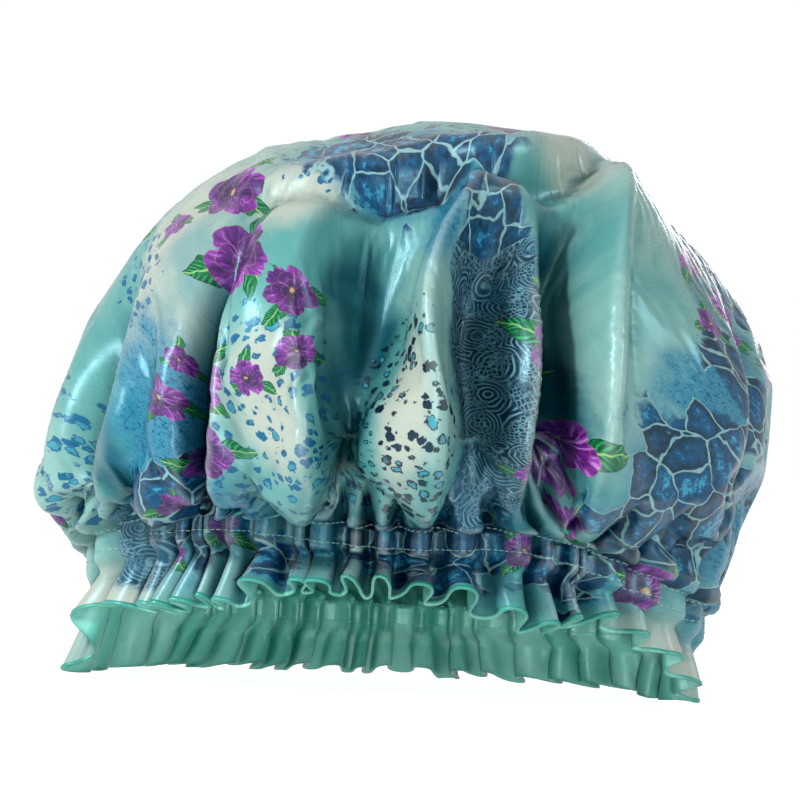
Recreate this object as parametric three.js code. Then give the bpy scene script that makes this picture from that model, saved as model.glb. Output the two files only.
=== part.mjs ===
import * as THREE from "three";
import { mergeVertices } from "three/addons/utils/BufferGeometryUtils.js";

// Double-layer satin bonnet standing on its hem, opening down, front towards -Y.
// All lengths are in millimetres.

// dome of the cloth, measured to the middle between the two layers
const domeTop = 227;
const bulgeLeft = 139;
const bulgeLeftZ = 80;
const bulgeRight = 141;
const bulgeRightZ = 128;
const bulgeFront = 108;
const bulgeFrontZ = 103;
const bulgeBack = 112;
const bulgeBackZ = 98;
const shoulderSlantRight = 0.5;
const shoulderSlantLeft = -0.15;

// elastic line: an oval loop as it lies round a head
const ringHalfWidth = 115;
const ringHalfDepth = 61;

// casing that the elastic runs in, and the frill below it
const casingWidth = 10;
const casingGather = 3.1;
const frillGather = 5.6;
const underGather = 4.6;
const frillHeightFront = 17;
const frillHeightBack = 22;
const frillHeightSide = 24;
const frillFlareFront = 15;
const frillFlareBack = 9;
const frillFlareRight = 3;
const frillFlareLeft = 8;

// hem: flat on the ground at the back and at one gather of each side, lifted in front
const hemLiftFront = 41;
const hemFoot = 0.9;
const hemRoll = 3.6;
const liftStartShare = 0.42;
const liftSpanShare = 1.28;
const liftSkewShare = 0.16;
const footingTurnShare = 0.015;
const footingSpanShare = 0.045;
const footingHoldShare = 0.55;

// cloth, elastic and thread
const clothThickness = 0.5;
const layerGap = 0.36;
const elasticWidth = 7.4;
const elasticThickness = 1;
const elasticLapTurnShare = 0.028;
const elasticRoom = 2.3;
const threadWidth = 0.5;
const threadClearance = 0.34;
const threadSides = 6;
const stitchInset = 1.2;
const joinTurns = 6;
const joinBends = 5;
const joinSpanShare = 0.36;
const joinRiseShare = 0.34;
const joinTension = 0.3;

// the hand-laid folds that run down the cloth, outwards plus, inwards minus
const lowCrest = 3;
const softCrest = 6;
const fullCrest = 9;
const sharpCrest = 12;
const lowValley = -3;
const softValley = -6.5;
const fullValley = -11;
const deepValley = -17;
const gorge = -23;
const chasm = -30;

// the crown stands out a little more, and most on the right
const crownSwell = 1.8;
const crownLean = 5;

// each fold: its place round the bonnet in shares of a turn from the front, and how far it
// stands out under the roll of the crown, on the shoulder and at the bulge
const folds = [
  { turnShare: -0.242, roll: 0, shoulder: 0, bulge: lowValley },
  { turnShare: -0.218, roll: 0, shoulder: lowValley, bulge: softCrest },
  { turnShare: -0.196, roll: 0, shoulder: lowValley, bulge: gorge },
  { turnShare: -0.155, roll: 0, shoulder: lowCrest, bulge: lowCrest },
  { turnShare: -0.117, roll: 0, shoulder: lowValley, bulge: gorge },
  { turnShare: -0.09, roll: 0, shoulder: softCrest, bulge: fullCrest },
  { turnShare: -0.062, roll: fullValley, shoulder: softValley, bulge: sharpCrest },
  { turnShare: -0.034, roll: deepValley, shoulder: gorge, bulge: gorge },
  { turnShare: -0.012, roll: deepValley, shoulder: gorge, bulge: softCrest },
  { turnShare: 0.01, roll: deepValley, shoulder: fullCrest, bulge: sharpCrest },
  { turnShare: 0.042, roll: sharpCrest, shoulder: deepValley, bulge: deepValley },
  { turnShare: 0.062, roll: softCrest, shoulder: fullValley, bulge: 0 },
  { turnShare: 0.088, roll: 0, shoulder: deepValley, bulge: chasm },
  { turnShare: 0.11, roll: softValley, shoulder: deepValley, bulge: sharpCrest },
  { turnShare: 0.132, roll: fullValley, shoulder: fullCrest, bulge: softCrest },
  { turnShare: 0.158, roll: sharpCrest, shoulder: softCrest, bulge: softCrest },
  { turnShare: 0.186, roll: fullCrest, shoulder: lowCrest, bulge: 0 },
  { turnShare: 0.21, roll: lowCrest, shoulder: 0, bulge: lowValley },
  { turnShare: 0.25, roll: 0, shoulder: 0, bulge: lowCrest },
  { turnShare: 0.283, roll: 0, shoulder: lowValley, bulge: softValley },
  { turnShare: 0.317, roll: 0, shoulder: lowCrest, bulge: fullCrest },
  { turnShare: 0.35, roll: 0, shoulder: softValley, bulge: softValley },
  { turnShare: 0.383, roll: 0, shoulder: lowCrest, bulge: sharpCrest },
  { turnShare: 0.42, roll: 0, shoulder: fullValley, bulge: fullValley },
  { turnShare: 0.455, roll: 0, shoulder: lowCrest, bulge: fullCrest },
  { turnShare: 0.485, roll: 0, shoulder: lowCrest, bulge: softCrest },
  { turnShare: 0.513, roll: 0, shoulder: softValley, bulge: fullValley },
  { turnShare: 0.545, roll: 0, shoulder: lowCrest, bulge: sharpCrest },
  { turnShare: 0.582, roll: 0, shoulder: lowValley, bulge: softValley },
  { turnShare: 0.612, roll: 0, shoulder: lowCrest, bulge: fullCrest },
  { turnShare: 0.644, roll: 0, shoulder: softValley, bulge: fullValley },
  { turnShare: 0.68, roll: 0, shoulder: lowCrest, bulge: fullCrest },
  { turnShare: 0.712, roll: 0, shoulder: lowValley, bulge: softValley },
  { turnShare: 0.738, roll: 0, shoulder: 0, bulge: lowCrest },
];

// rings of the dome from the crown down to the casing, in shares of that way
const domeShares = [0.2, 0.36, 0.5, 0.63, 0.75, 0.85, 0.94, 1];
const rollShare = 0.36;
const shoulderShare = 0.5;
const fullShare = 0.75;
const fadeShare = 0.5;
const underCurveShare = 0.85;
const midFrillShare = 0.45;
const leastGatherShare = 0.62;
const leastTurnShare = 0.3;
const mostGatherShare = 1.15;

const satin = new THREE.MeshStandardMaterial({ color: 0x8fc3c4, roughness: 0.3, metalness: 0 });
const mint = new THREE.MeshStandardMaterial({ color: 0x7fcdbb, roughness: 0.3, metalness: 0 });
const rubber = new THREE.MeshStandardMaterial({ color: 0xf2f1ec, roughness: 0.8, metalness: 0 });
const thread = new THREE.MeshStandardMaterial({ color: 0x9fd2c8, roughness: 0.6, metalness: 0 });

const group = new THREE.Group();
group.name = "satin_bonnet";

const turnAngle = (turnShare) => (turnShare - 0.25) * 2 * Math.PI;

function smooth(x) {
  const t = Math.min(1, Math.max(0, x));
  return t * t * (3 - 2 * t);
}

// one value given for the four sides, carried evenly round the bonnet
function aroundBonnet(angle, right, left, front, back) {
  const across = Math.cos(angle) > 0 ? right : left;
  const along = Math.sin(angle) > 0 ? back : front;
  return across * Math.cos(angle) ** 2 + along * Math.sin(angle) ** 2;
}

// distance from the axis of an oval with a half-axis for each of the four sides
function ovalReach(angle, right, left, front, back) {
  const across = Math.cos(angle) > 0 ? right : left;
  const along = Math.sin(angle) > 0 ? back : front;
  return 1 / Math.hypot(Math.cos(angle) / across, Math.sin(angle) / along);
}

// lift of the hem from back to front, which the casing follows
function hemLift(angle) {
  const forward = -Math.sin(angle) - liftSkewShare * Math.max(0, Math.cos(angle));
  return hemLiftFront * smooth((forward + liftStartShare) / liftSpanShare);
}

// height of the hem above the ground: one gather of each side comes down to it
function hemHeight(angle) {
  const fromSide = Math.abs(Math.sin(angle) + Math.sin(2 * Math.PI * footingTurnShare));
  return hemLift(angle) * smooth(fromSide / Math.sin(2 * Math.PI * footingSpanShare) - footingHoldShare);
}

const frillHeight = (angle) =>
  aroundBonnet(angle, frillHeightSide, frillHeightSide, frillHeightFront, frillHeightBack);

const frillFlare = (angle) =>
  aroundBonnet(angle, frillFlareRight, frillFlareLeft, frillFlareFront, frillFlareBack);

const ringReach = (angle) =>
  ovalReach(angle, ringHalfWidth, ringHalfWidth, ringHalfDepth, ringHalfDepth);

const ringTopZ = (angle) => hemLift(angle) + frillHeight(angle) + casingWidth;

// outline of one side from the crown (0) to the top of the casing (1): a quarter oval
// out to the bulge, then a curve back in that meets the casing on a slant
// slant: how much flatter than an oval the shoulder falls
function sideOutline(share, bulge, bulgeZ, ring, ringZ, slant) {
  const over = Math.hypot(bulge, domeTop - bulgeZ);
  const under = Math.hypot(bulge - ring, bulgeZ - ringZ);
  const bulgeShare = over / (over + under);
  if (share < bulgeShare) {
    const a = (share / bulgeShare) * (Math.PI / 2);
    const shoulder = Math.sin(a) ** (1 + slant * Math.sin(a) ** 2);
    return [bulge * shoulder, bulgeZ + (domeTop - bulgeZ) * Math.cos(a)];
  }
  const down = (share - bulgeShare) / (1 - bulgeShare);
  const reach = ring + (bulge - ring) * Math.cos(down * (Math.PI / 2)) ** underCurveShare;
  return [reach, bulgeZ - (bulgeZ - ringZ) * down];
}

// reach and height of the smooth dome below the folds
function domeOutline(angle, share) {
  const across = Math.cos(angle) > 0;
  const behind = Math.sin(angle) > 0;
  const ringZ = ringTopZ(angle);
  const side = across
    ? sideOutline(share, bulgeRight, bulgeRightZ, ringHalfWidth, ringZ, shoulderSlantRight)
    : sideOutline(share, bulgeLeft, bulgeLeftZ, ringHalfWidth, ringZ, shoulderSlantLeft);
  const end = behind
    ? sideOutline(share, bulgeBack, bulgeBackZ, ringHalfDepth, ringZ, 0)
    : sideOutline(share, bulgeFront, bulgeFrontZ, ringHalfDepth, ringZ, 0);
  const c = Math.cos(angle);
  const s = Math.sin(angle);
  return [1 / Math.hypot(c / side[0], s / end[0]), side[1] * c * c + end[1] * s * s];
}

const place = (angle, reach, z) =>
  new THREE.Vector3(reach * Math.cos(angle), reach * Math.sin(angle), z);

// a fold changes from its roll to its shoulder to its bulge and dies away towards the casing
function foldAmount(fold, share) {
  const [high, low, from, to] =
    share < shoulderShare
      ? [fold.roll, fold.shoulder, rollShare, shoulderShare]
      : [fold.shoulder, fold.bulge, shoulderShare, fullShare];
  const part = Math.min(1, Math.max(0, (share - from) / (to - from)));
  const fading = 1 - fadeShare * smooth((share - fullShare) / (1 - fullShare));
  return (high + (low - high) * part) * fading;
}

function domePoint(angle, share, push) {
  const step = 0.001;
  const here = domeOutline(angle, share);
  const next = domeOutline(angle, Math.min(1, share + step));
  const last = domeOutline(angle, share - step);
  const run = Math.hypot(next[0] - last[0], next[1] - last[1]);
  const out = -(next[1] - last[1]) / run;
  const up = (next[0] - last[0]) / run;
  return place(angle, here[0] + push * out, here[1] + push * up);
}

// places round the bonnet: one per fold on the dome, and one more between each pair
// of folds at the casing and frill, where every second one is the back of a gather
const foldAngles = folds.map((fold) => turnAngle(fold.turnShare));
const gatherAngles = foldAngles.flatMap((angle, i) => {
  const next = i + 1 < folds.length ? foldAngles[i + 1] : foldAngles[0] + 2 * Math.PI;
  return [angle, (angle + next) / 2];
});
const gatherSide = (i) => (i % 2 ? 1 : -1) * gatherSize[i];

// narrow gathers are also shallow ones
const gatherSize = gatherAngles.map((angle, i) => {
  const n = gatherAngles.length;
  const before = i ? gatherAngles[i - 1] : gatherAngles[n - 1] - 2 * Math.PI;
  const after = i + 1 < n ? gatherAngles[i + 1] : gatherAngles[0] + 2 * Math.PI;
  const spacing = ((after - before) / 2) * (n / (2 * Math.PI));
  return Math.min(mostGatherShare, Math.max(leastGatherShare, spacing));
});

// middle surface of the two layers: rings from the crown down to the hem
// spread: how far a layer stands off the elastic at the casing, minus for the lining
function clothRings(spread) {
  const rings = [[new THREE.Vector3(0, 0, domeTop)]];
  const room = spread * (casingGather + elasticRoom);
  domeShares.forEach((share, k) => {
    if (k === 0) {
      const places = foldAngles.filter((a, i) => i % 2 === 0);
      rings.push(places.map((a) => domePoint(a, share, crownSwell + crownLean * Math.cos(a))));
    } else if (share < domeShares[domeShares.length - 2]) {
      rings.push(folds.map((fold, i) => domePoint(foldAngles[i], share, foldAmount(fold, share))));
    }
  });
  const underShare = domeShares[domeShares.length - 2];
  rings.push(
    gatherAngles.map((angle, i) => {
      const near = folds[Math.floor(i / 2)];
      const next = folds[Math.floor((i + 1) / 2) % folds.length];
      const fold = (foldAmount(near, underShare) + foldAmount(next, underShare)) / 2;
      return domePoint(angle, underShare, fold / 2 + underGather * gatherSide(i));
    }),
  );
  for (const down of [0, 1]) {
    rings.push(
      gatherAngles.map((angle, i) => {
        const reach = ringReach(angle) + casingGather * gatherSide(i) + room;
        return place(angle, reach, ringTopZ(angle) - down * casingWidth);
      }),
    );
  }
  for (const share of [midFrillShare, 1]) {
    rings.push(
      gatherAngles.map((angle, i) => {
        const low = ringTopZ(angle) - casingWidth;
        const wave = casingGather + (frillGather - casingGather) * share;
        const reach = ringReach(angle) + frillFlare(angle) * share + wave * gatherSide(i);
        return place(angle, reach, low + (hemHeight(angle) + 2 * hemFoot - low) * share);
      }),
    );
  }
  return rings;
}

// triangles between two rings; the upper one has as many places, half as many, or one
function strip(upper, lower, add) {
  const n = lower.length;
  for (let i = 0; i < n; i++) {
    const j = (i + 1) % n;
    if (upper.length === 1) add(upper[0], lower[i], lower[j]);
    else if (upper.length === n) {
      if (i % 2) {
        add(upper[i], lower[i], lower[j]);
        add(upper[i], lower[j], upper[j]);
      } else {
        add(upper[i], lower[i], upper[j]);
        add(upper[j], lower[i], lower[j]);
      }
    } else {
      const m = upper.length;
      const k = Math.floor(i / 2);
      add(upper[i % 2 ? (k + 1) % m : k], lower[i], lower[j]);
      if (i % 2 === 0) add(upper[k], lower[j], upper[(k + 1) % m]);
    }
  }
}

function solidFrom(triangles) {
  const places = triangles.flatMap((tri) => tri.flatMap((p) => [p.x, p.y, p.z]));
  const geometry = new THREE.BufferGeometry();
  geometry.setAttribute("position", new THREE.Float32BufferAttribute(places, 3));
  return mergeVertices(geometry, 1e-4);
}

// for every place the way out of the cloth, long enough that a step of one along it
// moves each face beside it by at least one
function waysOut(rings) {
  const beside = new Map();
  for (const ring of rings) for (const p of ring) beside.set(p, []);
  for (let k = 0; k + 1 < rings.length; k++) {
    strip(rings[k], rings[k + 1], (a, b, c) => {
      const facing = new THREE.Vector3().crossVectors(b.clone().sub(a), c.clone().sub(a));
      for (const p of [a, b, c]) beside.get(p).push(facing);
    });
  }
  const out = new Map();
  for (const [p, facings] of beside) {
    const way = new THREE.Vector3();
    for (const f of facings) way.add(f.clone().normalize());
    way.normalize();
    const least = Math.min(...facings.map((f) => way.dot(f.clone().normalize())));
    out.set(p, way.multiplyScalar(1 / Math.max(leastTurnShare, least)));
  }
  return out;
}

const offsetRings = (rings, ways, distance) =>
  rings.map((ring) => ring.map((p) => p.clone().addScaledVector(ways.get(p), distance)));

// closed sheet between an outer and an inner set of rings
function sheetSolid(outerRings, innerRings) {
  const triangles = [];
  for (let k = 0; k + 1 < outerRings.length; k++) {
    strip(outerRings[k], outerRings[k + 1], (a, b, c) => triangles.push([a, b, c]));
    strip(innerRings[k], innerRings[k + 1], (a, b, c) => triangles.push([a, c, b]));
  }
  const outEdge = outerRings[outerRings.length - 1];
  const inEdge = innerRings[innerRings.length - 1];
  outEdge.forEach((p, i) => {
    const j = (i + 1) % outEdge.length;
    triangles.push([p, inEdge[i], outEdge[j]], [outEdge[j], inEdge[i], inEdge[j]]);
  });
  return solidFrom(triangles);
}

// closed loop from four rings that are the corners of its section
function loopSolid(corners) {
  const triangles = [];
  corners.forEach((ring, k) => {
    const next = corners[(k + 1) % corners.length];
    ring.forEach((p, i) => {
      const j = (i + 1) % ring.length;
      triangles.push([p, next[i], ring[j]], [ring[j], next[i], next[j]]);
    });
  });
  return solidFrom(triangles);
}

function addPiece(name, geometry, material) {
  const mesh = new THREE.Mesh(geometry, material.clone());
  mesh.name = name;
  group.add(mesh);
  return mesh;
}

const setZ = (p, z) => new THREE.Vector3(p.x, p.y, z);

function outerShell() {
  const rings = clothRings(1);
  const ways = waysOut(rings);
  const near = offsetRings(rings, ways, layerGap / 2);
  const far = offsetRings(rings, ways, layerGap / 2 + clothThickness);
  const hem = near.length - 1;
  const edgeZ = gatherAngles.map((angle) => hemHeight(angle) + hemFoot + layerGap);
  near[hem] = near[hem].map((p, i) => setZ(p, edgeZ[i]));
  far[hem] = far[hem].map((p, i) => setZ(p, edgeZ[i]));
  addPiece("outer_shell", sheetSolid(far, near), satin);
  return { near, far, ways: rings.map((ring) => ring.map((p) => ways.get(p))) };
}

// the lining's edge rolls out under the outer cloth and shows as a rim on the outside
function lining(shell) {
  const rings = clothRings(-1);
  const ways = waysOut(rings);
  const near = offsetRings(rings, ways, -layerGap / 2);
  const far = offsetRings(rings, ways, -layerGap / 2 - clothThickness);
  const hem = near.length - 1;
  const rolled = shell.far[hem].map((p, i) => {
    const inner = near[hem][i];
    return new THREE.Vector3().subVectors(p, inner).setZ(0).normalize().multiplyScalar(hemRoll).add(inner);
  });
  near[hem] = near[hem].map((p, i) => setZ(p, hemHeight(gatherAngles[i]) + hemFoot));
  far[hem] = far[hem].map((p, i) => setZ(p, hemHeight(gatherAngles[i])));
  near.push(rolled.map((p, i) => setZ(p, hemHeight(gatherAngles[i]) + hemFoot)));
  far.push(rolled.map((p, i) => setZ(p, hemHeight(gatherAngles[i]))));
  addPiece("lining", sheetSolid(near, far), mint);
  return { near, far, ways: rings.map((ring) => ring.map((p) => ways.get(p))) };
}

// a row of stitches as one thread that lies along the gathers of a layer
function stitchRow(name, face, ways, facing, topInset) {
  const top = face.length - 4;
  const share = topInset / casingWidth;
  const half = threadWidth / 2 / casingWidth;
  const corner = (down, off) =>
    face[top].map((p, i) => {
      const at = p.clone().lerp(face[top + 1][i], down);
      const way = ways[top][i].clone().lerp(ways[top + 1][i], down);
      return at.addScaledVector(way, facing * off);
    });
  const near = threadClearance;
  const far = threadClearance + threadWidth;
  const corners = [
    corner(share - half, near),
    corner(share + half, near),
    corner(share + half, far),
    corner(share - half, far),
  ];
  addPiece(name, loopSolid(facing > 0 ? corners.reverse() : corners), thread);
}

// flat elastic whose ends are lapped at the back and sewn together
function elastic() {
  const start = turnAngle(0.5);
  const lap = 2 * Math.PI * elasticLapTurnShare;
  const around = gatherAngles.map((a) => (a < start ? a + 2 * Math.PI : a));
  around.sort((a, b) => a - b);
  const inside = around.filter((a) => a > start + lap / 4 && a < start + 2 * Math.PI - lap / 4);
  const angles = [start - lap / 2, start, ...inside, start + 2 * Math.PI, start + 2 * Math.PI + lap / 2];
  const span = angles[angles.length - 1] - angles[0];
  const shift = elasticThickness + layerGap;
  const top = (casingWidth - elasticWidth) / 2;
  const corners = [[], [], [], []];
  for (const angle of angles) {
    const middle = ringReach(angle) + shift * ((angle - angles[0]) / span - 0.5);
    const high = ringTopZ(angle) - top;
    const low = high - elasticWidth;
    corners[0].push(place(angle, middle + elasticThickness / 2, high));
    corners[1].push(place(angle, middle - elasticThickness / 2, high));
    corners[2].push(place(angle, middle - elasticThickness / 2, low));
    corners[3].push(place(angle, middle + elasticThickness / 2, low));
  }
  const triangles = [];
  corners.forEach((edge, k) => {
    const next = corners[(k + 1) % 4];
    for (let i = 0; i + 1 < edge.length; i++) {
      triangles.push([edge[i], edge[i + 1], next[i]], [edge[i + 1], next[i + 1], next[i]]);
    }
  });
  const [a, b, c, d] = corners;
  const z = a.length - 1;
  triangles.push([a[0], b[0], c[0]], [a[0], c[0], d[0]]);
  triangles.push([a[z], c[z], b[z]], [a[z], d[z], c[z]]);
  addPiece("elastic_band", solidFrom(triangles), rubber);
}

// zigzag of thread across the lap of the elastic, on its outer face
function elasticJoin() {
  const middle = turnAngle(0.5);
  const lap = 2 * Math.PI * elasticLapTurnShare;
  const off = (elasticThickness * 2 + layerGap) / 2 + threadClearance + threadWidth / 2;
  const points = [];
  for (let i = 0; i <= joinTurns; i++) {
    const angle = middle + lap * joinSpanShare * ((2 * i) / joinTurns - 1);
    const rise = elasticWidth * joinRiseShare * (i % 2 ? 1 : -1);
    points.push(place(angle, ringReach(angle) + off, ringTopZ(angle) - casingWidth / 2 + rise));
  }
  const section = new THREE.Shape();
  for (let i = 0; i < threadSides; i++) {
    const a = (i / threadSides) * 2 * Math.PI;
    const at = [Math.cos(a) * (threadWidth / 2), Math.sin(a) * (threadWidth / 2)];
    if (i) section.lineTo(...at);
    else section.moveTo(...at);
  }
  const path = new THREE.CatmullRomCurve3(points, false, "catmullrom", joinTension);
  const geometry = new THREE.ExtrudeGeometry(section, {
    extrudePath: path,
    steps: joinTurns * joinBends,
    bevelEnabled: false,
  });
  geometry.deleteAttribute("normal");
  geometry.deleteAttribute("uv");
  addPiece("elastic_join_stitch", mergeVertices(geometry, 1e-4), thread);
}

const shell = outerShell();
const inside = lining(shell);
elastic();
elasticJoin();
stitchRow("casing_stitch_upper", shell.far, shell.ways, 1, stitchInset);
stitchRow("casing_stitch_lower", shell.far, shell.ways, 1, casingWidth - stitchInset);
const liningFace = inside.far.slice(0, -1);
stitchRow("casing_bobbin_upper", liningFace, inside.ways, -1, stitchInset);
stitchRow("casing_bobbin_lower", liningFace, inside.ways, -1, casingWidth - stitchInset);

// the origin is on the ground in the middle of the footprint
const reach = new THREE.Box3().setFromObject(group);
const middle = reach.getCenter(new THREE.Vector3());
for (const mesh of group.children) mesh.geometry.translate(-middle.x, -middle.y, -reach.min.z);

export default group;
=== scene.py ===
import math

import bpy
import numpy as np
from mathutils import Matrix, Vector


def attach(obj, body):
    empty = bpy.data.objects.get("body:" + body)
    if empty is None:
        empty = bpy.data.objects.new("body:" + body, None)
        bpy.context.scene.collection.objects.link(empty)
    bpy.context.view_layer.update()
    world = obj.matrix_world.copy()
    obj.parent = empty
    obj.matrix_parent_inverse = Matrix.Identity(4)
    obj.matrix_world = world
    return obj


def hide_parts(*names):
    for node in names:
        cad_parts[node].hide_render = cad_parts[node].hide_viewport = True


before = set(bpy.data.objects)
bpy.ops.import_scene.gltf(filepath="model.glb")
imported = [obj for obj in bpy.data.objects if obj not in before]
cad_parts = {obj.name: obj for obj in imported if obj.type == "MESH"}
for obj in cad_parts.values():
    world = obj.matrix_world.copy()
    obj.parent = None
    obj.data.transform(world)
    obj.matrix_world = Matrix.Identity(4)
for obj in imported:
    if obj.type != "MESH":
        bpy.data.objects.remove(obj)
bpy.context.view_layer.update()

scene = bpy.context.scene
scene.view_settings.view_transform = "Standard"
print("frame loaded")

# the camera looks level at the front, rolled by as much as the bonnet leans in the photo
view = dict(lens=170, sensor=36, frameWidth=0.32, aimX=-0.0039, aimY=0.0026, aimZ=0.116, rollDegrees=3)

cameraData = bpy.data.cameras.new("camera")
cameraData.lens = view["lens"]
cameraData.sensor_width = view["sensor"]
cameraData.dof.use_dof = False
camera = bpy.data.objects.new("camera", cameraData)
scene.collection.objects.link(camera)
scene.camera = camera
distance = view["frameWidth"] * view["lens"] / view["sensor"]
camera.location = (view["aimX"], view["aimY"] - distance, view["aimZ"])
camera.rotation_euler = (math.radians(90), 0, 0)
camera.rotation_euler.rotate_axis("Z", math.radians(view["rollDegrees"]))

# the cloth is worked out in millimetres and placed in metres
# the dome is a half oval with its own bulge on each of the four sides
dome = dict(top=227.3, left=139, leftZ=80, right=141, rightZ=128, front=108, frontZ=103, back=112, backZ=98,
            overhang=0.78, slantRight=0.5, slantLeft=-0.15, centreX=-0.953, centreY=1.225)
# the oval that the elastic holds, and how far the hem rises from back to front
casing = dict(halfWidth=115, halfDepth=61, width=10, gather=2.6, room=4.0, crest=3.3, lift=41,
              liftStart=0.42, liftSpan=1.28, skewRight=0.16, skewLeft=-0.16)
# heights of the frill, how far it stands out, how deep its gathers are at the hem, and how it stirs
frill = dict(front=17, back=22, side=24, flareFront=8, flareBack=8, flareLeft=9, flareRight=2, gather=6.4,
             loop=1.6, lean=2.4, ripple=1.6, tilt=0.7, sway=3.2, clear=2.2, lowest=1.2)
# the cut cloth is a disc: radius to the elastic, columns and gathers round it, and the stretches above the
# elastic in which the puffs fade and the gathers are drawn in
cut = dict(toRing=254.0, frill=27.5, columns=352, gathers=45, gatherDepth=9.0, puffFade=40, drawnIn=24,
           seed=11)

columns = cut["columns"]


def smooth(x):
    t = np.clip(x, 0, 1)
    return t * t * (3 - 2 * t)


def around(angle, side, front, back):
    # a value given for the sides, the front and the back, carried evenly round
    along = np.where(np.sin(angle) > 0, back, front)
    return side * np.cos(angle) ** 2 + along * np.sin(angle) ** 2


def hemLift(angle):
    toRight = np.cos(angle)
    skew = casing["skewRight"] * np.maximum(0, toRight) + casing["skewLeft"] * np.maximum(0, -toRight)
    forward = -np.sin(angle) - skew
    return casing["lift"] * smooth((forward + casing["liftStart"]) / casing["liftSpan"])


def ringTopZ(angle):
    return hemLift(angle) + around(angle, frill["side"], frill["front"], frill["back"]) + casing["width"]


def ringReach(angle):
    return 1 / np.hypot(np.cos(angle) / casing["halfWidth"], np.sin(angle) / casing["halfDepth"])


# the near hem isn't level: its height at these places from left to right
nearHemX = [-117, -99, -65, -31, 0, 32, 52, 81, 102, 117]
nearHemZ = [27, 29, 32, 42, 43, 36, 30, 33, 19, 9]


def hemZ(angle):
    near = np.interp(ringReach(angle) * np.cos(angle), nearHemX, nearHemZ)
    return near * smooth((-np.sin(angle) - 0.02) / 0.2)


def sideOutline(share, bulge, bulgeZ, ringR, ringZ, slant=0.0):
    # one side from the crown (0) to the casing (1): a quarter oval out, then a curve back in
    # slant: how much flatter than an oval the shoulder falls
    over = np.hypot(bulge, dome["top"] - bulgeZ)
    under = np.hypot(bulge - ringR, bulgeZ - ringZ)
    bulgeShare = over / (over + under)
    a = np.minimum(share / bulgeShare, 1) * math.pi / 2
    down = np.clip((share - bulgeShare) / (1 - bulgeShare), 0, 1)
    upper = share < bulgeShare
    shoulder = bulge * np.sin(a) ** (1 + slant * np.sin(a) ** 2)
    r = np.where(upper, shoulder, ringR + (bulge - ringR) * np.cos(down * math.pi / 2) ** dome["overhang"])
    z = np.where(upper, bulgeZ + (dome["top"] - bulgeZ) * np.cos(a), bulgeZ - (bulgeZ - ringZ) * down)
    return r, z


def domeOutline(angle, share):
    c, s = np.cos(angle), np.sin(angle)
    ringZ = ringTopZ(angle)
    across = np.where(c > 0, dome["right"], dome["left"])
    acrossZ = np.where(c > 0, dome["rightZ"], dome["leftZ"])
    along = np.where(s > 0, dome["back"], dome["front"])
    alongZ = np.where(s > 0, dome["backZ"], dome["frontZ"])
    slant = np.where(c > 0, dome["slantRight"], dome["slantLeft"])
    sideR, sideZ = sideOutline(share, across, acrossZ, casing["halfWidth"], ringZ, slant)
    endR, endZ = sideOutline(share, along, alongZ, casing["halfDepth"], ringZ)
    return 1 / np.hypot(c / sideR, s / endR), sideZ * c * c + endZ * s * s


def domeFrame(angle, share):
    # point on the smooth dome and the way out of it
    r, z = domeOutline(angle, share)
    r1, z1 = domeOutline(angle, np.minimum(share + 0.004, 1))
    r0, z0 = domeOutline(angle, share - 0.004)
    run = np.hypot(r1 - r0, z1 - z0)
    out, up = -(z1 - z0) / run, (r1 - r0) / run
    point = np.stack([r * np.cos(angle), r * np.sin(angle), z], -1)
    way = np.stack([out * np.cos(angle), out * np.sin(angle), up], -1)
    return point, way


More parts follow.
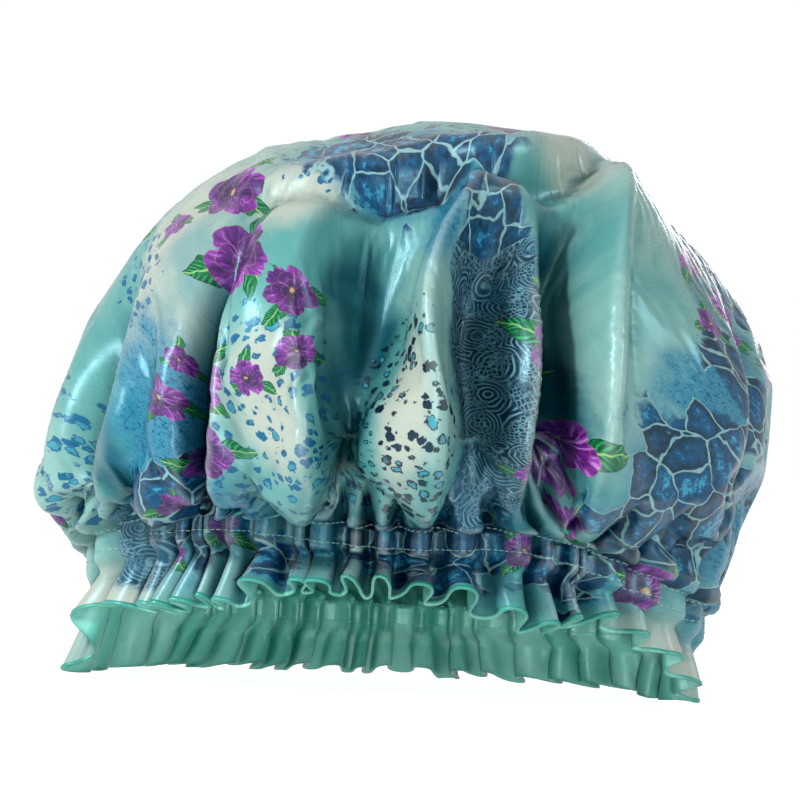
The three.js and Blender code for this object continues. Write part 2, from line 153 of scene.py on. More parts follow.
# fold lines of the front, from left to right: x and push at each of these heights
levels = np.array([50, 75, 95, 115, 135, 155, 175, 195, 212])
foldLines = [
    ([-139, -141, -141, -140, -138, -134, -124, -108, -90], [0, 3, 4, 3, 1, 0, 0, 0, 0]),
    ([-131, -134, -134, -133, -130, -126, -116, -101, -84], [2, 6, 7, 6, 3, 1, 0, 0, 0]),
    ([-118, -123, -125, -123, -121, -117, -108, -94, -78], [-7, -14, -16, -12, -8, -4, -1, 0, 0]),
    ([-112, -114, -111, -108, -105, -102, -95, -84, -70], [1, 5, 8, 7, 5, 3, 1, 0, 0]),
    ([-105, -104, -102, -98, -94, -91, -84, -74, -61], [-5, -2, 3, 6, 6, 4, 2, 0, 0]),
    ([-90, -91, -90, -88, -85, -81, -75, -65, -53], [2, 7, 9, 9, 7, 4, 2, 1, 0]),
    ([-81, -81, -81, -82, -81, -78, -71, -60, -49], [0, 4, 6, 6, 5, 2, 1, 0, 0]),
    ([-72, -74, -76, -77, -76, -73, -66, -56, -45], [-12, -24, -28, -28, -21, -6, -1, 0, 0]),
    ([-65, -67, -68, -69, -68, -66, -60, -51, -41], [1, 6, 9, 9, 7, 4, 3, 1, 0]),
    ([-55, -55, -54, -54, -55, -55, -51, -43, -34], [-5, -1, 3, 8, 10, 9, 5, 2, 0]),
    ([-40, -37, -35, -36, -42, -44, -41, -35, -27], [1, 7, 11, 10, 8, 7, 5, 1, 0]),
    ([-31, -29, -28, -29, -33, -35, -34, -29, -22], [-12, -20, -19, -14, -11, -9, -8, -5, -1]),
    ([-20, -22, -22, -21, -20, -18, -16, -13, -9], [-9, -13, -12, -11, -18, -22, -20, -12, -2]),
    ([-8, -15, -16, -12, -7, -3, 2, 8, 10], [-6, -7, -3, -1, -9, -14, -14, -10, -3]),
    ([6, 9, 11, 11, 7, 5, 9, 19, 24], [3, 6, 9, 11, 13, 13, 11, 7, 1]),
    ([13, 15, 17, 17, 13, 12, 17, 27, 31], [-1, 0, 0, 0, -2, -2, 1, 3, 1]),
    ([24, 25, 26, 26, 24, 24, 29, 36, 38], [-6, -10, -13, -15, -16, -16, -10, 1, 1]),
    ([42, 44, 46, 47, 48, 48, 48, 48, 48], [1, 0, 0, 1, 1, -1, -4, -5, -1]),
    ([50, 51, 52, 52.5, 53, 53, 54, 55, 55], [-8, -17, -21, -23, -23, -21, -15, -9, -2]),
    ([58, 59, 60, 60.5, 61, 61.5, 63, 64, 64], [-9, -21, -27, -29, -29, -27, -20, -11, -2]),
    ([65, 66, 66.5, 67, 68, 69, 71, 74, 76], [4, 8, 10, 11, 11, 10, 9, 6, 2]),
    ([74, 76, 77, 78, 79, 79, 79, 80, 81], [2, 5, 7, 8, 8, 7, 6, 4, 1]),
    ([95, 98, 99, 100, 100, 98, 95, 92, 90], [0, 2, 3, 4, 5, 5, 4, 2, 0]),
    ([117, 123, 125, 126, 125, 121, 114, 106, 98], [1, 3, 4, 4, 3, 1, 0, 0, 0]),
    ([125, 130, 132, 133, 132, 128, 120, 112, 103], [-3, -6, -7, -7, -5, -2, 0, 0, 0]),
    ([131, 137, 139, 140, 139, 134, 126, 118, 108], [0, 1, 1, 1, 0, 0, 0, 0, 0]),
]


def hermite(x, xs, ys):
    # monotone curve through (xs, ys), one row of knots for each x
    h = np.maximum(np.diff(xs, axis=1), 1e-3)
    slope = np.diff(ys, axis=1) / h
    left, right = slope[:, :-1], slope[:, 1:]
    wl, wr = 2 * h[:, 1:] + h[:, :-1], h[:, 1:] + 2 * h[:, :-1]
    same = left * right > 0
    safeL, safeR = np.where(same, left, 1), np.where(same, right, 1)
    inner = np.where(same, (wl + wr) / (wl / safeL + wr / safeR), 0)
    zero = np.zeros((len(x), 1))
    d = np.concatenate([zero, inner, zero], 1)
    i = np.clip((x[:, None] >= xs).sum(1) - 1, 0, xs.shape[1] - 2)

    def pick(a, k):
        return np.take_along_axis(a, k[:, None], 1)[:, 0]

    hi = pick(h, i)
    t = np.clip((x - pick(xs, i)) / hi, 0, 1)
    y0, y1, d0, d1 = pick(ys, i), pick(ys, i + 1), pick(d, i), pick(d, i + 1)
    t2, t3 = t * t, t * t * t
    return (y0 * (2 * t3 - 3 * t2 + 1) + hi * d0 * (t3 - 2 * t2 + t)
            + y1 * (3 * t2 - 2 * t3) + hi * d1 * (t3 - t2))


lineX = np.array([line[0] for line in foldLines], float).T
linePush = np.array([line[1] for line in foldLines], float).T


def betweenLevels(table, z):
    # smooth curve through the rows of a table at the heights in levels
    k = np.clip(np.searchsorted(levels, z) - 1, 0, len(levels) - 2)
    t = np.clip((z - levels[k]) / (levels[k + 1] - levels[k]), 0, 1)[:, None]
    n = len(table) - 1
    a, b = table[np.maximum(k - 1, 0)], table[k]
    c, d = table[k + 1], table[np.minimum(k + 2, n)]
    return 0.5 * (2 * b + (c - a) * t + (2 * a - 5 * b + 4 * c - d) * t ** 2
                  + (3 * b - a - 3 * c + d) * t ** 3)


# how strong the drawn folds are, where they end under the crown, and where they give way to those of the back
frontFold = dict(scale=1.35, endZ=222, fade=12, turnY=8, turnSpan=40)


def frontPush(x, z):
    xs = np.maximum.accumulate(betweenLevels(lineX, z) + np.arange(len(foldLines)) * 1e-3, axis=1)
    fade = smooth((frontFold["endZ"] - z) / frontFold["fade"])
    return frontFold["scale"] * hermite(x, xs, betweenLevels(linePush, z)) * fade


# the folds of the back and sides: degrees round from the front, push, width, and where each begins
backFolds = [
    (94, 5, 6, 0.45), (103, -13, 5, 0.4), (114, 7, 7, 0.35), (126, -15, 4.5, 0.3), (138, 8, 8, 0.3),
    (151, -18, 4.5, 0.25), (163, 7, 7, 0.35), (175, 4, 6, 0.3), (185, -16, 4.5, 0.3), (197, 9, 8, 0.3),
    (210, -14, 5, 0.35), (221, 6, 7, 0.3), (233, -17, 4.5, 0.3), (245, 8, 7, 0.35), (257, -12, 5, 0.45),
    (267, 5, 6, 0.5),
]
# how far down the cloth they are deepest, how much they ease below that, and how far they lean
backFold = dict(deepest=0.74, ease=0.45, lean=5)


def backPush(angle, share):
    turned = np.degrees(angle + math.pi / 2) % 360
    push = np.zeros_like(turned)
    deepest = backFold["deepest"]
    eased = 1 - backFold["ease"] * smooth((share - deepest) / (1 - deepest))
    for at, depth, width, start in backFolds:
        lean = backFold["lean"] * np.sin(at * 7.3) * (0.8 - share)
        grown = smooth((share - start) / (deepest - start)) * eased
        push = push + depth * np.exp(-(((turned - at - lean) / width) ** 2)) * grown
    return push


# the crown rolls over a shallow crease that runs across the front: its height and depth from left to right,
# the swell above it and a knuckle of cloth on it
crease = dict(x=[-95, -60, -40, -10, 8, 32, 56, 75], z=[186, 191, 195, 203, 206, 204, 206, 211],
              depthX=[-100, -60, -30, 0, 15, 40, 60, 82], depth=[0, 4, 7, 9, 13, 15, 10, 0],
              width=4.6, swell=0.45, swellUp=8.5, swellWidth=5, knuckle=5, knuckleX=30, knuckleZ=196,
              knuckleWide=11, knuckleHigh=6)
# a low ridge across the top of the crown
ridge = dict(x=[-95, -60, -40, -20, 5, 30, 50, 66, 80, 98, 115], push=[0, 0, -4, -4, 0, 1.5, 4, 8, 6, -1, 0],
             y=-8, width=62, startZ=165, fade=35)


def mainFolds(angle, share):
    # push of the folds, without the gathers
    point, way = domeFrame(angle, share)
    x, y, z = point[..., 0], point[..., 1], point[..., 2]
    front = smooth((frontFold["turnY"] - y) / frontFold["turnSpan"])
    push = front * frontPush(x, z) + (1 - front) * backPush(angle, share)
    above = z - np.interp(x, crease["x"], crease["z"])
    deep = np.interp(x, crease["depthX"], crease["depth"])
    push = push - front * deep * np.exp(-((above / crease["width"]) ** 2))
    swell = np.exp(-(((above - crease["swellUp"]) / crease["swellWidth"]) ** 2))
    push = push + front * crease["swell"] * deep * swell
    knuckle = np.exp(-((x - crease["knuckleX"]) / crease["knuckleWide"]) ** 2
                     - ((z - crease["knuckleZ"]) / crease["knuckleHigh"]) ** 2)
    raised = np.interp(x, ridge["x"], ridge["push"]) * np.exp(-(((y - ridge["y"]) / ridge["width"]) ** 2))
    raised = raised * smooth((z - ridge["startZ"]) / ridge["fade"])
    return push + front * crease["knuckle"] * knuckle + raised


# how gathers differ: spread and limits of their widths, how far up each runs, how bold and how looped it is
gatherMix = dict(spread=0.32, narrowest=0.5, widest=1.9, reach=(20, 72), bold=(0.62, 1.15), loop=(0.35, 1.1))


class Gathers:
    # uneven gathers round the cloth, worked out for any number of columns

    def __init__(self, count):
        own = np.random.default_rng(cut["seed"])
        total = cut["gathers"]
        widths = np.exp(own.normal(0, gatherMix["spread"], total))
        widths = np.clip(widths, gatherMix["narrowest"], gatherMix["widest"])
        edges = np.concatenate([[0], np.cumsum(widths)]) / widths.sum()
        at = (np.arange(count) + 0.5) / count
        k = np.clip(np.searchsorted(edges, at, side="right") - 1, 0, total - 1)
        self.count = count
        self.phase = (at - edges[k]) / (edges[k + 1] - edges[k])
        # rounded crests with narrow valleys between them
        self.wave = 1.5 * np.sin(math.pi * self.phase) - 0.75 - 0.25 * np.cos(2 * math.pi * self.phase)
        self.pitch = (widths / widths.mean())[k]
        self.softWave = -np.cos(2 * math.pi * self.phase)
        self.reach = self.even(own.uniform(*gatherMix["reach"], total)[k])
        self.bold = self.even(own.uniform(*gatherMix["bold"], total)[k])
        self.lean = self.even(own.uniform(-1, 1, total)[k])
        self.drop = self.even(own.uniform(-1, 1, total)[k])
        self.loop = self.even(own.uniform(*gatherMix["loop"], total)[k])

    def even(self, values):
        # mean over neighbouring columns
        width = max(1, self.count // 170)
        out = sum(np.roll(values, k) for k in range(-width, width + 1))
        return out / (2 * width + 1)


fine = 1440
fineAngle = np.arange(fine) / fine * 2 * math.pi - math.pi / 2


def rowAngles(share):
    # columns spread along the folded cloth of this ring, part way to evenly
    point, way = domeFrame(fineAngle, share)
    folded = point + way * (mainFolds(fineAngle, share) * min(1, share * 2))[:, None]
    step = np.linalg.norm(np.roll(folded, -1, 0) - folded, axis=1)
    flatStep = np.linalg.norm(np.roll(point, -1, 0) - point, axis=1)
    total = np.concatenate([[0], np.cumsum(0.6 * step + 0.4 * flatStep)])
    span = np.linspace(0, total[-1], columns + 1)[:-1]
    return np.interp(span, total, np.concatenate([fineAngle, [fineAngle[0] + 2 * math.pi]]))


# once round the cloth, in millimetres, for waves that have to close
lap = 900.0
# slow waves of the frill, and small creases where the cloth is drawn in
swayWaves = dict(count=6, shortest=45, longest=140, seed=8)
wrinkleWaves = dict(count=9, shortest=7.2, longest=22.5, seed=5)
wrinkles = dict(depth=0.3, start=185, grow=60, past=6, fade=12)


def crumple(u, v, count, shortest, longest, seed):
    # sum of a few slanted waves, u across and v down the cloth
    own = np.random.default_rng(seed)
    total = np.zeros_like(u)
    for _ in range(count):
        wave = lap / round(lap / own.uniform(shortest, longest))
        lean = own.uniform(-0.35, 0.35)
        phase = own.uniform(0, 2 * math.pi)
        total = total + np.sin((u + lean * v) * 2 * math.pi / wave + phase) * wave / longest
    return total / math.sqrt(count)


def smoothClothRows():
    # rings of the middle surface from the crown to the hem, before the cloth settles
    g = Gathers(columns)  # g stands for the gathers here and below
    rows = []
    for s in domeS:
        share = s / cut["toRing"]
        angle = rowAngles(share)
        point, way = domeFrame(angle, np.full(columns, share))
        left = cut["toRing"] - s
        folds = mainFolds(angle, np.full(columns, share)) * smooth(left / cut["puffFade"])
        gathers = cut["gatherDepth"] * g.wave * g.bold * smooth(1 - left / g.reach)
        outwards = np.stack([np.cos(angle), np.sin(angle), np.zeros(columns)], -1)
        turned = 0.8 * smooth(1 - left / cut["drawnIn"])
        pushed = point + way * (folds + (1 - turned) * gathers)[:, None]
        rows.append(pushed + outwards * (turned * gathers)[:, None])
    angle = rowAngles(1.0)
    reach, top = ringReach(angle), ringTopZ(angle)
    arc = np.linspace(0, lap, columns, endpoint=False)
    low = top - casing["width"]
    flareSide = np.where(np.cos(angle) > 0, frill["flareRight"], frill["flareLeft"])
    flare = around(angle, flareSide, frill["flareFront"], frill["flareBack"])

    def ring(r, z):
        return np.stack([r * np.cos(angle), r * np.sin(angle), z], -1)

    for t in casingShares:
        rows.append(ring(reach + casing["gather"] * g.wave * g.bold, top - casing["width"] * t))
    for t in frillShares:
        deep = casing["gather"] + (frill["gather"] - casing["gather"]) * t ** 0.7
        wave = g.bold * (g.wave + (g.softWave - g.wave) * min(1, 2 * t))
        # the ring of the hem leans up towards the front, so its loops show
        across = np.sin(angle) * (1 - 0.4 * (np.sin(angle) > 0))
        lean = frill["tilt"] * (2 * np.maximum(0, np.sin(angle)) - across * deep * wave)
        hem = hemZ(angle) + frill["clear"] + frill["ripple"] * g.drop + lean
        sway = frill["sway"] * t * crumple(arc, np.full(columns, cut["frill"] * t), **swayWaves)
        rows.append(ring(reach + flare * t ** 1.3 + deep * wave + sway, low + (hem - low) * t))
    return np.array(rows), angle


domeS = np.concatenate([np.linspace(5, 56, 9), np.linspace(62, 200, 26), np.linspace(205, 254, 13)])
casingShares = np.linspace(0.15, 1, 4)
frillShares = np.linspace(0, 1, 10)[1:]
rowS = np.concatenate([domeS, cut["toRing"] + casing["width"] * casingShares,
                       cut["toRing"] + casing["width"] + cut["frill"] * frillShares])
rows, hemAngle = smoothClothRows()
print("cloth laid out:", rows.shape)


def gridFaces(rowCount, count, rings):
    # quads between the rows, then the crown closed by rings of half, a quarter and so on of the places
    faces = []
    for k in range(rowCount - 1):
        a, b = k * count, (k + 1) * count
        for i in range(count):
            j = (i + 1) % count
            faces.append((a + i, b + i, b + j, a + j))
    ids, start = list(range(count)), rowCount * count
    for n in rings:
        new = list(range(start, start + n))
        for q in range(n):
            r = (q + 1) % n
            a, m, b = ids[2 * q], ids[2 * q + 1], ids[(2 * q + 2) % len(ids)]
            faces += [(new[q], a, m), (new[q], m, new[r]), (new[r], m, b)]
        ids, start = new, start + n
    return faces + [(start, ids[q], ids[(q + 1) % len(ids)]) for q in range(len(ids))]


def closeCrown(rows, firstS):
    # points of the rows and of the rings that close the crown, and how far down the cloth each ring is
    count = rows.shape[1]
    top = np.array([rows[0, :, 0].mean(), rows[0, :, 1].mean(), rows[0, :, 2].max() + 0.05])
    points, rings, ringS, share = [rows.reshape(-1, 3)], [], [], 1.0
    while count % 2 == 0:
        count //= 2
        share *= 0.74
        picked = rows[0, ::rows.shape[1] // count]
        points.append(top + (picked - top) * np.array([share, share, share ** 2]))
        rings.append(count)
        ringS.append(firstS * share)
    points.append(top[None])
    return np.concatenate(points), rings, ringS


def vertexNormals(points, faces):
    tris = np.array([t for f in faces for t in ([f] if len(f) == 3 else [f[:3], (f[0], f[2], f[3])])])
    n = np.cross(points[tris[:, 1]] - points[tris[:, 0]], points[tris[:, 2]] - points[tris[:, 0]])
    total = np.zeros_like(points)
    for c in range(3):
        np.add.at(total, tris[:, c], n)
    return total / np.maximum(np.linalg.norm(total, axis=1, keepdims=True), 1e-12)


def meshObject(name, points, faces):
    # points in millimetres round the dome's axis, placed in the frame in metres
    mesh = bpy.data.meshes.new(name)
    placed = (np.asarray(points) + np.array([dome["centreX"], dome["centreY"], 0])) * 0.001
    mesh.from_pydata(placed.tolist(), [], faces)
    mesh.polygons.foreach_set("use_smooth", [True] * len(mesh.polygons))
    obj = bpy.data.objects.new(name, mesh)
    scene.collection.objects.link(obj)
    return obj


# how the cloth relaxes: it has a little more length than its place, so it buckles and creases
settling = dict(frames=18, gravity=0.6, hold=0.07, holdCrown=0.4, holdFrill=0.3)
fabric = dict(quality=8, mass=0.1, air_damping=2, tension_stiffness=40, compression_stiffness=40,
              shear_stiffness=10, bending_stiffness=0.2, tension_damping=5, compression_damping=5,
              shear_damping=5, vertex_group_mass="hold", vertex_group_shrink="spare", pin_stiffness=1.0,
              shrink_min=-0.02, shrink_max=-0.1, use_pressure=True, uniform_pressure_force=0.12)


def downTheCloth(rings, ringS):
    # how far down the cut cloth each point lies: the rows, the rings of the crown and its middle
    crown = [np.full(n, s) for n, s in zip(rings, ringS)]
    return np.concatenate([np.repeat(rowS, columns)] + crown + [np.zeros(1)])


def settle(rows):
    points, rings, ringS = closeCrown(rows, rowS[0])
    obj = meshObject("settling", points, gridFaces(len(rows), columns, rings))
    s = downTheCloth(rings, ringS)
    low = smooth((s - 60) / 130)
    hold = settling["holdCrown"] * (1 - low) + settling["hold"] * low
    hold[s > cut["toRing"] - 1] = 1
    hold[s > cut["toRing"] + casing["width"] + 1] = settling["holdFrill"]
    spare = smooth((s - 70) / 140)
    for name, weights in (("hold", hold), ("spare", spare)):
        group = obj.vertex_groups.new(name=name)
        for value in np.unique(np.round(weights, 3)):
            group.add(np.nonzero(np.round(weights, 3) == value)[0].tolist(), float(value), "REPLACE")
    cloth = obj.modifiers.new("cloth", "CLOTH")
    for key, value in fabric.items():
        setattr(cloth.settings, key, value)
    cloth.settings.effector_weights.gravity = settling["gravity"]
    cloth.collision_settings.use_collision = False
    cloth.collision_settings.use_self_collision = False
    cloth.point_cache.frame_start, cloth.point_cache.frame_end = 1, settling["frames"]
    for f in range(1, settling["frames"] + 1):
        scene.frame_set(f)
    shaped = obj.evaluated_get(bpy.context.evaluated_depsgraph_get()).to_mesh()
    out = np.zeros(len(points) * 3)
    shaped.vertices.foreach_get("co", out)
    scene.frame_set(1)
    bpy.data.objects.remove(obj)
    out = out.reshape(-1, 3) * 1000 - np.array([dome["centreX"], dome["centreY"], 0])
    return out[:rows.shape[0] * columns].reshape(rows.shape)


rows = settle(rows)
print("cloth settled")


def doubled(a, wrap):
    # twice as many rows, on a smooth curve through the ones there are
    if wrap:
        before, after, after2 = np.roll(a, 1, 0), np.roll(a, -1, 0), np.roll(a, -2, 0)
    else:
        before = np.concatenate([a[:1], a[:-1]])
        after = np.concatenate([a[1:], a[-1:]])
        after2 = np.concatenate([a[2:], a[-1:], a[-1:]])
    between = (9 * (a + after) - before - after2) / 16
    out = np.empty((2 * len(a),) + a.shape[1:])
    out[0::2], out[1::2] = a, between
    return out if wrap else out[:-1]


rows = doubled(rows, False)
rows = doubled(rows.transpose(1, 0, 2), True).transpose(1, 0, 2)
rowS = doubled(rowS, False)
hemTurn = np.unwrap(hemAngle)
columns *= 2
g = Gathers(columns)


def loopTheHem(rows):
    # gathers close into loops towards the hem and lean over to one side
    closed = np.append(hemTurn, hemTurn[0] + 2 * math.pi)
    turn = np.interp(np.arange(columns) / 2, np.arange(len(closed)), closed)
    base = np.stack([ringReach(turn) * np.cos(turn), ringReach(turn) * np.sin(turn), np.zeros(columns)], -1)
    along = np.roll(base, -1, 0) - np.roll(base, 1, 0)
    length = np.linalg.norm(along, axis=1).sum() / 2
    along /= np.linalg.norm(along, axis=1, keepdims=True)
    pitch = length / cut["gathers"] * g.pitch
    loop = frill["loop"] * g.loop * pitch / (4 * math.pi) * np.sin(4 * math.pi * g.phase)
    low = cut["toRing"] + casing["width"]
    out = rows.copy()
    for k, s in enumerate(rowS):
        below = smooth((s - low) / cut["frill"] * 1.2)
        above = 0.4 * smooth(1 - (cut["toRing"] - s) / cut["drawnIn"])
        amount = above + (1 - above) * below
        out[k] += along * (loop * amount + frill["lean"] * g.lean * g.wave * below)[:, None]
    return out


def fineWrinkles(rows, normals):
    # small creases that run down the cloth, deeper where it is drawn in
    arc = np.linspace(0, lap, columns, endpoint=False)
    out = rows.copy()
    for k, s in enumerate(rowS):
        amount = wrinkles["depth"] * smooth((s - wrinkles["start"]) / wrinkles["grow"])
        amount *= smooth((cut["toRing"] + wrinkles["past"] - s) / wrinkles["fade"])
        out[k] += normals[k] * (amount * crumple(arc, np.full(columns, s), **wrinkleWaves))[:, None]
    return out


rows = loopTheHem(rows)
rowPoints = len(rows) * columns
points, crownRings, crownS = closeCrown(rows, rowS[0])
faces = gridFaces(len(rows), columns, crownRings)
normals = vertexNormals(points, faces)
rows = fineWrinkles(rows, normals[:rowPoints].reshape(rows.shape))
rows[..., 2] = np.maximum(rows[..., 2], frill["lowest"])
points = closeCrown(rows, rowS[0])[0]
normals = vertexNormals(points, faces)


def discPlaces(rowS, rings, ringS):
    # where each point lies on the flat disc the cloth was cut as, in millimetres
    out = []
    for s, n in [(s, columns) for s in rowS] + list(zip(ringS, rings)):
        turn = np.arange(n) / n * 2 * math.pi - math.pi / 2
        out.append(np.stack([s * np.cos(turn), s * np.sin(turn)], -1))
    return np.concatenate(out + [np.zeros((1, 2))])


def addDiscMap(obj, places):
    layer = obj.data.uv_layers.new(name="disc")
    at = np.zeros(len(obj.data.loops), dtype=np.int32)
    obj.data.loops.foreach_get("vertex_index", at)
    layer.data.foreach_set("uv", (places[at] * 0.001).astype(np.float32).ravel())


# the two cloths lie against each other and part round the elastic
layers = dict(gap=0.8, partAbove=12, partBelow=9, rimRadius=0.6, rimSteps=5)
allS = downTheCloth(crownRings, crownS)
wayOut = points * np.array([1, 1, 0])
wayOut /= np.maximum(np.linalg.norm(wayOut, axis=1, keepdims=True), 1e-9)
crests = np.concatenate([np.tile(g.wave * g.bold, len(rows)), np.zeros(len(points) - rowPoints)])


def clothLayer(side):
    above, below = cut["toRing"] - allS, allS - cut["toRing"] - casing["width"]
    spread = smooth(1 - above / layers["partAbove"]) * smooth(1 - below / layers["partBelow"])
    room = casing["room"] + casing["crest"] * np.maximum(0, side * crests)
    return points + normals * side * layers["gap"] / 2 + wayOut * (side * spread * room)[:, None]


outer = meshObject("outer_cloth", clothLayer(1), faces)
addDiscMap(outer, discPlaces(rowS, crownRings, crownS))

# the lining's edge rolls out under the hem and shows as a thin rim
hem, hemOut = points[rowPoints - columns:rowPoints], normals[rowPoints - columns:rowPoints]
hemDown = hem - points[rowPoints - 3 * columns:rowPoints - 2 * columns]
hemDown /= np.linalg.norm(hemDown, axis=1, keepdims=True)
radius = layers["rimRadius"]
centre = hem + hemOut * (radius - layers["gap"] / 2)
rim = [centre - hemOut * radius * math.cos(a) + hemDown * radius * math.sin(a)
       for a in np.linspace(0, math.pi, layers["rimSteps"] + 1)[1:]]
rim += [rim[-1] - hemDown * 1.2, rim[-1] - hemDown * 1.5 - hemOut * 0.8]
inner = clothLayer(-1)
liningPoints = np.concatenate([inner[:rowPoints]] + rim + [inner[rowPoints:]])
liningS = np.concatenate([rowS, rowS[-1] + 0.5 * np.arange(1, len(rim) + 1)])
lining = meshObject("lining_cloth", liningPoints, gridFaces(len(liningS), columns, crownRings))
addDiscMap(lining, discPlaces(liningS, crownRings, crownS))
print("two cloths made")


def paint(hexColour):
    # screen colour to the linear one Blender works in
    parts = [int(hexColour[i:i + 2], 16) / 255 for i in (1, 3, 5)]
    return tuple(c / 12.92 if c <= 0.04045 else ((c + 0.055) / 1.055) ** 2.4 for c in parts)


# colours of the print, its leaves and blossoms, the lining, and the painted highlight on the crests of both;
# deep is partly print and partly painted shade along the valleys of the folds
inks = dict(ground="#5DA5A1", groundPale="#93C2BA", cream="#BFC9BB", deep="#15606B", drift="#4798A2",
            wash="#1F86A6", specks="#0F4C80", spotBlue="#12648E", spotBlack="#061930",
            spotMiddle="#3D9DB0", laceDark="#041C38", laceTeal="#0C4A6C", laceThread="#86BFCB",
            crackleDark="#010C2A", crackleBlue="#0A5F92", cracklePale="#3FA3C4", veins="#8FBDC0",
            leafDark="#0B4A2C", leaf="#2FA85A", leafStreak="#0C6B36", leafEdge="#06301F",
            leafVein="#A5D77E", petalStreak="#260339", petalPale="#E7A9EE", petalEdge="#D9A469",
            heart="#E9B46A", mint="#69D0C0", mintPale="#9DE6DA", crest="#EAF7F2")
inks = {name: paint(hexColour) for name, hexColour in inks.items()}


class Wiring:
    # wires nodes: numbers, colours or sockets go in and a socket comes out

    def __init__(self, tree):
        self.tree = tree

    def add(self, kind, values=(), **settings):
        n = self.tree.nodes.new(kind if "Node" in kind else "ShaderNode" + kind)
        for key, value in settings.items():
            setattr(n, key, value)
        for key, value in dict(values).items():
            self.feed(n.inputs[key], value)
        return n

    def feed(self, socket, value):
        if isinstance(value, bpy.types.NodeSocket):
            self.tree.links.new(value, socket)
        elif hasattr(value, "__len__") and len(value) == 3 and len(socket.default_value) == 4:
            socket.default_value = (*value, 1)
        else:
            socket.default_value = value

    def math(self, operation, *values, clamp=False):
        return self.add("Math", enumerate(values), operation=operation, use_clamp=clamp).outputs[0]

    def ramp(self, value, low, high, start=0.0, end=1.0):
        # smooth step of a value between low and high
        values = {"Value": value, "From Min": low, "From Max": high, "To Min": start, "To Max": end}
        return self.add("MapRange", values, interpolation_type="SMOOTHSTEP").outputs["Result"]

    def mix(self, share, a, b):
        n = self.add("Mix", data_type="RGBA")
        self.feed(n.inputs[0], share)
        self.feed(n.inputs[6], a)
        self.feed(n.inputs[7], b)
        return n.outputs[2]

    def vector(self, operation, a, b):
        return self.add("VectorMath", {0: a, 1: b}, operation=operation).outputs[0]

    def scaled(self, vector, scale):
        return self.add("VectorMath", {0: vector, "Scale": scale}, operation="SCALE").outputs[0]

    def noise(self, vector, scale, detail=2.0, rough=0.5, warp=0.0):
        values = {"Vector": vector, "Scale": scale, "Detail": detail, "Roughness": rough, "Distortion": warp}
        return self.add("TexNoise", values)

    def moved(self, vector, amount, scale, seed):
        # places shifted about by soft noise, so that shapes get a hand-drawn edge
        n = self.noise(self.vector("ADD", vector, (seed, seed, 0.0)), scale)
        away = self.vector("SUBTRACT", n.outputs["Color"], (0.5, 0.5, 0.5))
        return self.vector("ADD", vector, self.scaled(away, amount))

    def cells(self, vector, scale, feature="F1", randomness=1.0):
        values = {"Vector": vector, "Scale": scale, "Randomness": randomness}
        return self.add("TexVoronoi", values, feature=feature, voronoi_dimensions="3D")

    def split(self, vector):
        return self.add("SeparateXYZ", {0: vector}).outputs

    def field(self, name):
        return self.add("Attribute", attribute_name=name, attribute_type="GEOMETRY").outputs


def nodeGroup(name, inputs, outputs, treeKind="ShaderNodeTree"):
    tree = bpy.data.node_groups.new(name, treeKind)
    for label, kind, value in inputs:
        socket = tree.interface.new_socket(label, in_out="INPUT", socket_type="NodeSocket" + kind)
        if value is not None:
            socket.default_value = value
    for label, kind in outputs:
        tree.interface.new_socket(label, in_out="OUTPUT", socket_type="NodeSocket" + kind)
    given = tree.nodes.new("NodeGroupInput").outputs
    return Wiring(tree), given, tree.nodes.new("NodeGroupOutput").inputs


def satinWeave():
    # long floats that lie one way, with slubs and a fine crepe grain: height for bump, and roughness
    inputs = [("Place", "Vector", None), ("Pitch", "Float", 0.4), ("Roughness", "Float", 0.3)]
    w, given, out = nodeGroup("satinWeave", inputs, [("Height", "Float"), ("Roughness", "Float")])
    x, y, _ = w.split(given["Place"])
    perThread = w.math("DIVIDE", 2 * math.pi, given["Pitch"])
    across = w.math("SINE", w.math("MULTIPLY", x, perThread))
    along = w.math("SINE", w.math("MULTIPLY", y, w.math("MULTIPLY", perThread, 0.25)))
    thread = w.math("MULTIPLY_ADD", along, 0.35, across)
    flat = w.vector("MULTIPLY", given["Place"], (1.0, 0.22, 1.0))
    slub = w.noise(flat, 1.1, 3.0, 0.6).outputs["Fac"]
    grain = w.noise(given["Place"], 2.4, 2.0).outputs["Fac"]
    height = w.math("MULTIPLY_ADD", slub, 1.6, w.math("MULTIPLY", thread, 0.16))
    w.feed(out["Height"], w.math("MULTIPLY_ADD", grain, 0.5, height))
    patchy = w.noise(flat, 0.09, 3.0).outputs["Fac"]
    wear = w.math("MULTIPLY_ADD", w.math("SUBTRACT", patchy, 0.5), 0.16, given["Roughness"])
    w.feed(out["Roughness"], w.math("MULTIPLY_ADD", w.math("SUBTRACT", slub, 0.5), 0.14, wear, clamp=True))
    return w.tree


def leopardSpots():
    # irregular blotches, the larger ones open in the middle
    inputs = [("Place", "Vector", None), ("Spot", "Float", 5.0), ("Strength", "Float", 1.0)]
    w, given, out = nodeGroup("leopardSpots", inputs, [("Spots", "Float"), ("Middles", "Float")])
    place = w.moved(given["Place"], 3.4, 0.3, 17.0)
    cell = w.cells(place, w.math("DIVIDE", 1.0, given["Spot"]), randomness=0.8)
    size = w.math("MULTIPLY_ADD", w.split(cell.outputs["Color"])[0], 0.2, 0.33)
    away = w.math("SUBTRACT", w.math("MULTIPLY", size, given["Strength"]), cell.outputs["Distance"])
    torn = w.noise(w.vector("ADD", given["Place"], (40.0, 3.0, 0.0)), 0.75, 2.0).outputs["Fac"]
    ragged = w.math("MULTIPLY_ADD", w.math("SUBTRACT", torn, 0.5), 0.35, away)
    blotch = w.ramp(ragged, 0.0, 0.09)
    large = w.ramp(w.split(cell.outputs["Color"])[1], 0.6, 0.65)
    middle = w.math("MULTIPLY", w.ramp(ragged, 0.15, 0.22), large)
    w.feed(out["Spots"], w.math("SUBTRACT", blotch, middle, clamp=True))
    w.feed(out["Middles"], middle)
    return w.tree


